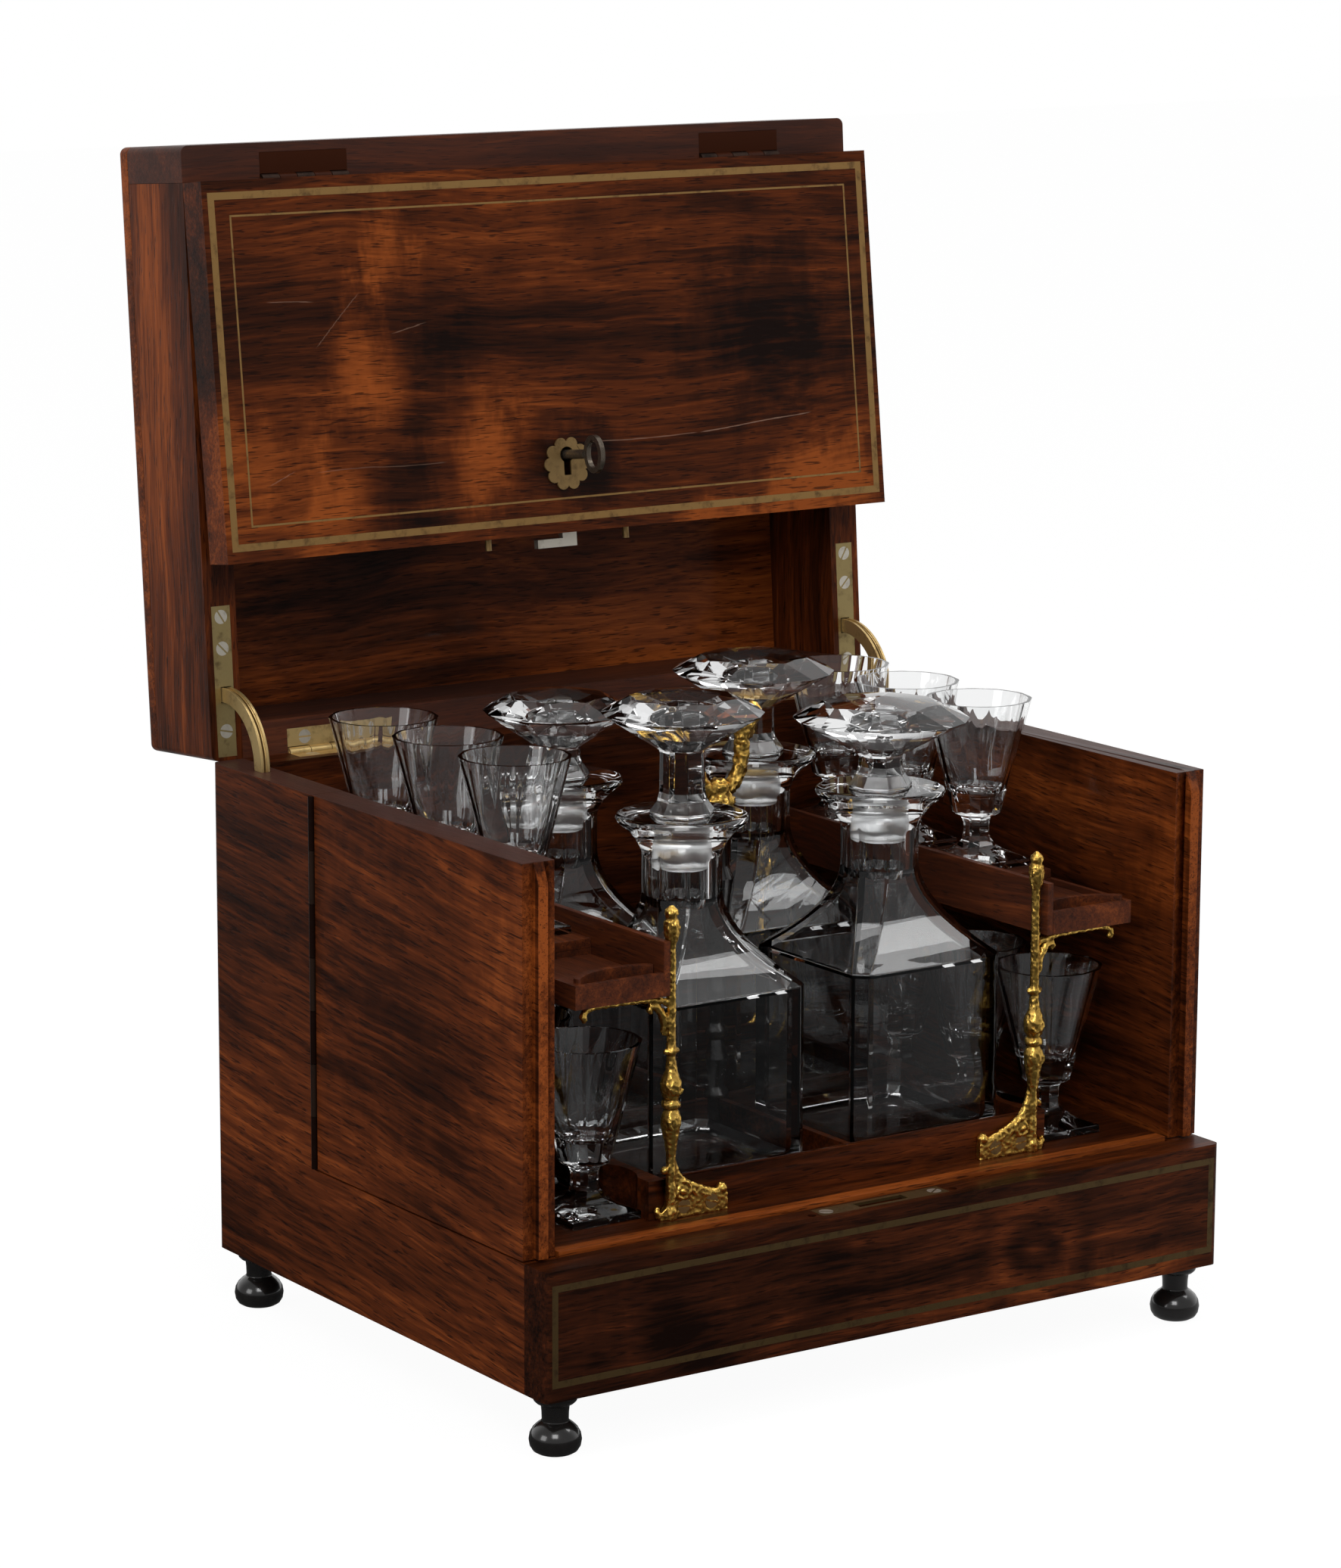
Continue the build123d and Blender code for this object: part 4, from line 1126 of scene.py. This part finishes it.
def slab(name, outline, low, high):
    """A flat plate: an outline of (across, height) corners, drawn from one depth to another."""
    sheet = bpy.data.meshes.new(name)
    sheet.from_pydata([(x * mm, low * mm, z * mm) for x, z in outline], [], [range(len(outline))])
    piece = bpy.data.objects.new(name, sheet)
    bpy.context.collection.objects.link(piece)
    alone(piece)
    bpy.ops.object.mode_set(mode="EDIT")
    bpy.ops.mesh.select_all(action="SELECT")
    bpy.ops.mesh.extrude_region_move(TRANSFORM_OT_translate={"value": (0, (high - low) * mm, 0)})
    close_up()
    return piece


print("bosses ready")


# %% Casting
def fuse(name, pieces, grain, relief, relief_size, keep):
    """Joins overlapping parts into one casting, chases its surface and keeps a share of its faces."""
    bpy.ops.object.select_all(action="DESELECT")
    for piece in pieces:
        piece.select_set(True)
    bpy.context.view_layer.objects.active = pieces[0]
    bpy.ops.object.join()
    casting = bpy.context.object
    casting.name = casting.data.name = name
    skin = casting.modifiers.new("skin", "REMESH")
    skin.mode = "VOXEL"
    skin.voxel_size = grain * mm
    bpy.ops.object.modifier_apply(modifier=skin.name)
    soften = casting.modifiers.new("soften", "SMOOTH")
    soften.iterations = 2
    bpy.ops.object.modifier_apply(modifier=soften.name)
    chasing = bpy.data.textures.new(name + "_chasing", "CLOUDS")
    chasing.noise_scale = relief_size * mm
    chasing.noise_depth = 1
    chased = casting.modifiers.new("chased", "DISPLACE")
    chased.texture = chasing
    chased.texture_coords = "LOCAL"
    chased.strength = relief * mm
    bpy.ops.object.modifier_apply(modifier=chased.name)
    fewer = casting.modifiers.new("fewer", "DECIMATE")
    fewer.ratio = keep
    bpy.ops.object.modifier_apply(modifier=fewer.name)
    bpy.ops.object.shade_smooth()
    print(name, len(casting.data.polygons), "faces")
    return casting


# %% Outlines of a support
rod_steps = (
    *((0, 2.4, 0), (3, 2.6, 0), (6, 2.1, 0.1), (19, 2.0, 0.12), (25, 1.9, 0.12), (28, 2.3, 0.1)),
    *((33, 3.1, 0.06), (38, 3.9, 0), (41, 4.0, 0), (43, 3.2, 0), (44.3, 2.5, 0), (45.0, 3.5, 0)),
    *((46.2, 3.8, 0), (47.2, 3.4, 0), (48, 2.6, 0), (49, 3.3, 0), (51.5, 4.1, 0), (54.5, 4.2, 0)),
    *((57.5, 3.2, 0.05), (60, 2.4, 0.12), (65.5, 1.9, 0.18), (66.6, 2.5, 0), (67.4, 2.7, 0)),
    *((68.4, 2.2, 0.12), (70, 2.0, 0.2), (109, 1.95, 0.2), (110.5, 2.4, 0.12), (113, 3.1, 0.14)),
    *((116, 3.4, 0.16), (118.4, 3.1, 0.12), (119.5, 2.3, 0), (120.2, 2.3, 0), (121.4, 3.0, 0.14)),
    *((122.8, 2.7, 0.1), (123.7, 1.4, 0), (124.5, 0.8, 0)),
)
arm_path = (
    *((0, 85.6, 1.7), (3, 87.2, 1.4), (9, 88.3, 1.2), (20, 88.8, 1.0), (34, 88.8, 1.0)),
    *((37.6, 88.5, 1.1), (39.6, 87.4, 1.3), (40.2, 85.8, 1.5), (39.4, 84.5, 1.4), (38.2, 84.9, 1.0)),
)
brace_path = (
    *((8.6, 83.2, 0.9), (9.9, 84.2, 1.2), (9.3, 85.8, 1.3), (6.8, 85.6, 1.6), (4.6, 83.4, 1.8)),
    *((3.2, 80.4, 1.7), (2.6, 77.4, 1.5), (3.3, 75.2, 1.2), (2.2, 73.8, 1.0)),
)
rim_path = (
    *((-0.6, 26, 1.2), (-1.4, 22.5, 1.5), (-3.0, 18.0, 1.6), (-5.4, 15.0, 1.6), (-9, 12.6, 1.5)),
    *((-14, 10.4, 1.4), (-19, 8.5, 1.3), (-22.6, 7.6, 1.3), (-25.2, 7.6, 1.2)),
)
toe_path = ((0, 1.7, 1.7), (3, 1.7, 1.7), (5.2, 2.3, 1.6), (6.0, 3.9, 1.3), (5.2, 5.2, 1.1))
leaf_paths = [
    ((-10.5 - 4.4 * leaf, 10.4 - 1.9 * leaf, 1.0), (-12.6 - 4.4 * leaf, 7.6 - 1.6 * leaf, 0.5))
    for leaf in range(2)
]
plate_outline = (
    *((5.2, 0), (5.2, 2.4), (1.4, 5.5), (0.6, 24), (-1.4, 22.5), (-3.0, 18.0), (-5.4, 15.0)),
    *((-9, 12.6), (-14, 10.4), (-19, 8.5), (-22.6, 7.6), (-26.6, 8.2), (-26.8, 0)),
)
shoulder_scroll = spiral((-0.2, 53.5), 200, 1.3, (3.0, 1.0), (0.8, 0.7))
drop_scroll = spiral((0.2, 39.2), 20, -1.3, (2.8, 0.9), (0.8, 0.6))
foot_volute = spiral((-5.3, 10.6), 80, 1.6, (3.9, 1.0), (1.0, 0.8))
print("support", rod_steps[-1][0], "mm high")

# %% One gilt support
rod = fluted("rod", rod_steps, 24)
rod.data.transform(Matrix.Translation((0, -0.9 * mm, 0)))
raised = []
for name, path, depth in (
    ("shoulder_scroll", shoulder_scroll, -4.1),
    ("drop_scroll", drop_scroll, -3.9),
    ("foot_volute", foot_volute, -1.3),
    ("leaf_1", leaf_paths[0], -1.0),
    ("leaf_2", leaf_paths[1], -1.0),
):
    scroll = swept(name, path, 8)
    scroll.data.transform(Matrix.Translation((0, depth * mm, 0)))
    raised.append(scroll)
support = fuse(
    "support",
    [
        rod,
        swept("arm", arm_path),
        swept("brace", brace_path),
        swept("rim", rim_path),
        swept("toe", toe_path),
        slab("plate", plate_outline, -1.45, 1.6),
        bud("end_bud", (-24.7, 0, 8.7), 2.3),
        bud("left_bud", (-2.5, -0.9, 67.2), 1.2),
        bud("right_bud", (2.5, -0.9, 67.2), 1.2),
        bud("low_bud", (2.9, -0.9, 20.0), 1.6),
        bud("volute_eye", (-5.3, -1.8, 10.6), 1.2),
        *raised,
    ],
    grain=0.36,
    relief=0.75,
    relief_size=1.6,
    keep=0.55,
)

# %% The four gilt supports
rod_place = Vector((89.0, -131.79, 77.4)) * mm
case_centre = -36.19 * mm
support_moves = [
    Matrix.Translation((0, case_centre, 0))
    @ Matrix.Diagonal((right, ahead, 1, 1))
    @ Matrix.Translation(rod_place - Vector((0, case_centre, 0)))
    for right in (1, -1)
    for ahead in (1, -1)
]
supports_mesh = gathered(support, support_moves)
stand_in("fine_gilt_supports", supports_mesh, "gilt_supports", "carrier", gilt)
print("supports", len(supports_mesh.polygons), "faces")

# %% [markdown]
# The carrier's handle is gilt too: a leafy boss on the column, and two arms that swell outwards and meet above
# in an arch. Each arm sprouts a leaf that flares out beside the arch. It is cast and chased like the supports.

# %% Handle
boss_steps = (
    *((0, 5.4, 0), (0.6, 6.0, 0), (2.4, 7.4, 0.12), (4.0, 7.2, 0.14), (5.4, 6.0, 0.1), (6.8, 4.6, 0)),
    *((7.6, 4.6, 0), (9.0, 5.2, 0.1), (10.4, 4.4, 0), (12.0, 2.6, 0)),
)
arm_half = (
    *((1.0, 6.6, 3.2), (4.6, 7.4, 3.3), (8.0, 10.2, 3.3), (10.4, 14.8, 3.2), (11.3, 20.0, 3.2)),
    *((11.6, 26.0, 3.3), (11.0, 32.0, 3.3), (9.2, 37.6, 3.2), (5.8, 42.0, 3.1), (2.0, 44.2, 3.0)),
    (-1.0, 44.6, 3.0),
)
leaf_half = (
    *((10.0, 22.0, 2.4), (11.6, 28.0, 3.2), (13.6, 33.0, 3.9), (15.6, 37.0, 4.4), (17.0, 39.4, 4.0)),
    *((18.2, 40.8, 2.8), (18.8, 41.4, 1.2)),
)
handle_parts = [
    fluted("boss", boss_steps, 24),
    *both_sides("arm", arm_half),
    *both_sides("leaf", leaf_half),
    *both_sides("curl", spiral((14.0, 31.0), 250, 0.8, (3.4, 1.6), (1.2, 0.8))),
    bud("crest", (0, 0, 46.0), 2.4),
]
handle = fuse("handle_casting", handle_parts, grain=0.4, relief=1.3, relief_size=2.0, keep=0.6)
handle_low, handle_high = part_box("handle")
settle(handle, "handle", "carrier", (0, case_centre, handle_low[2]), gilt)
bpy.data.objects.remove(handle)
print("handle set at", handle_low[2], "to", handle_high[2])

# %% [markdown]
# The frame's boards and plates end in edges that are sharper than any plane or file leaves. A merged copy of
# each has its edges eased by a hair, so that they catch the light. Each stay is a pair of bars side by side, so
# its copy is parted down the middle by a thin saw cut before its edges are eased.

# %% Easing an edge
sharp_angle = 30


def eased(name, width, saw=None):
    """A merged copy of a CAD node with eased edges, which stands for it and rides where it rides."""
    node = nodes[name]
    piece = bpy.data.objects.new("eased_" + name, node.data.copy())
    piece.data.name = piece.name
    bpy.context.collection.objects.link(piece)
    alone(piece)
    bpy.ops.mesh.customdata_custom_splitnormals_clear()
    bpy.ops.object.mode_set(mode="EDIT")
    bpy.ops.mesh.select_all(action="SELECT")
    bpy.ops.mesh.remove_doubles(threshold=1e-6)
    bpy.ops.mesh.dissolve_limited(angle_limit=radians(0.5))
    bpy.ops.object.mode_set(mode="OBJECT")
    if saw:
        carve(piece, saw, "DIFFERENCE")
    polish(piece, width, sharp_angle)
    smooth(piece, sharp_angle)
    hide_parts(name)
    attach(piece, body_of(node)[0])
    print(piece.name, len(piece.data.polygons), "faces", [round(size, 4) for size in piece.dimensions])


print("easing ready")

# %% Eased boards and plates
boards = (
    *("flap_board", "door_left", "door_right", "plinth_front", "carrier_base"),
    *("tray_boards", "tray_rails", "carrier_rails", "lid_front_rail", "lid_top_board"),
)
for name in boards:
    eased(name, 0.4)
for name in ("escutcheon", "stay_plates"):
    eased(name, 0.25)

# %% Parted stays
saw_cut, saw_reach = 0.8, 200
for name in ("stay_left", "stay_right"):
    low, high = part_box(name)
    middle = (Vector(low) + Vector(high)) / 2
    saw = fresh("saw", bpy.ops.mesh.primitive_cube_add, size=1)
    bpy.ops.transform.resize(value=Vector((saw_cut, saw_reach, saw_reach)) * mm)
    bpy.ops.transform.translate(value=middle)
    close_up()
    eased(name, 0.2, saw)

# %% [markdown]
# The feet are squashed balls under a short neck and a flange, turned and stained black. A ring of 48 corners is
# drawn up the outline, and the four feet are one mesh, because they are one node of the frame.

# %% Feet
foot_rings = (
    *((0, 5.5), (0.3, 7.2), (1.2, 8.7), (3.0, 9.8), (5.4, 10.2), (7.8, 9.8), (9.8, 8.7), (11.3, 7.2)),
    *((12.2, 6.0), (12.7, 5.4), (13.4, 5.2), (16.5, 5.3), (19.2, 5.6), (19.6, 6.2), (20.0, 7.4)),
    *((20.9, 8.3), (21.8, 8.6), (22.8, 8.5), (23.9, 8.1)),
)
foot = turned("foot", foot_rings, 48)
smooth(foot, 30)
foot_half = 10.2 * mm
feet_low, feet_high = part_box("feet")
foot_moves = [
    Matrix.Translation((x, y, 0))
    for x in (feet_low[0] + foot_half, feet_high[0] - foot_half)
    for y in (feet_low[1] + foot_half, feet_high[1] - foot_half)
]
feet_mesh = gathered(foot, foot_moves)
stand_in("fine_feet", feet_mesh, "feet", "case", ebony)
print("feet", len(foot_moves), "of", foot_rings[-1][0], "mm")

# %% [markdown]
# The floor is a plain white sheet, larger than the view, and no part of the cabinet. It is
# almost pure white to the eye, yet it still takes the faint shadow of the feet, so its shader mixes plain white
# light with a dull white paint. What mirrors it sees it bright only towards the paper sheet.

# %% The floor's paint and glow
paint_white, glow_strength, glow_share = (0.86, 0.86, 0.86, 1), 1.06, 0.9
floor_sheet_way = (0.85, 0.52, 0)
floor_finish = Finish("white_floor")
floor_finish.set(Base_Color=paint_white, Roughness=0.9)
paint = Wire(floor_finish, floor_finish.shader.outputs[0])
rays = floor_finish.add("ShaderNodeLightPath", output="Is Camera Ray")
glow = floor_finish.add("ShaderNodeEmission", None, Strength=glow_strength)
glowing = rays.most(rays.other("Is Transmission Ray")) * glow_share
seen = floor_finish.add("ShaderNodeMixShader", None, glowing, paint, glow)
where = floor_finish.add("ShaderNodeNewGeometry", output="Position")
toward_sheet = floor_finish.vectors("DOT_PRODUCT", where, floor_sheet_way, output=1)
sheet_strength = floor_finish.between(toward_sheet, -0.10, 0.45) * 0.9 + 0.05
mirrored = floor_finish.add("ShaderNodeEmission", None, Strength=sheet_strength)
shown = floor_finish.add("ShaderNodeMixShader", None, rays.other("Is Glossy Ray"), seen, mirrored)
floor_finish.feed(floor_finish.tree.nodes["Material Output"].inputs[0], shown)
print("floor", len(floor_finish.tree.nodes), "nodes")

# %% Floor
floor_width = 12
bpy.ops.object.select_all(action="DESELECT")
bpy.ops.mesh.primitive_plane_add(size=floor_width)
floor = bpy.context.object
floor.name = "studio_floor"
floor.data.materials.append(floor_finish.material)
print("floor", floor_width, "m wide")
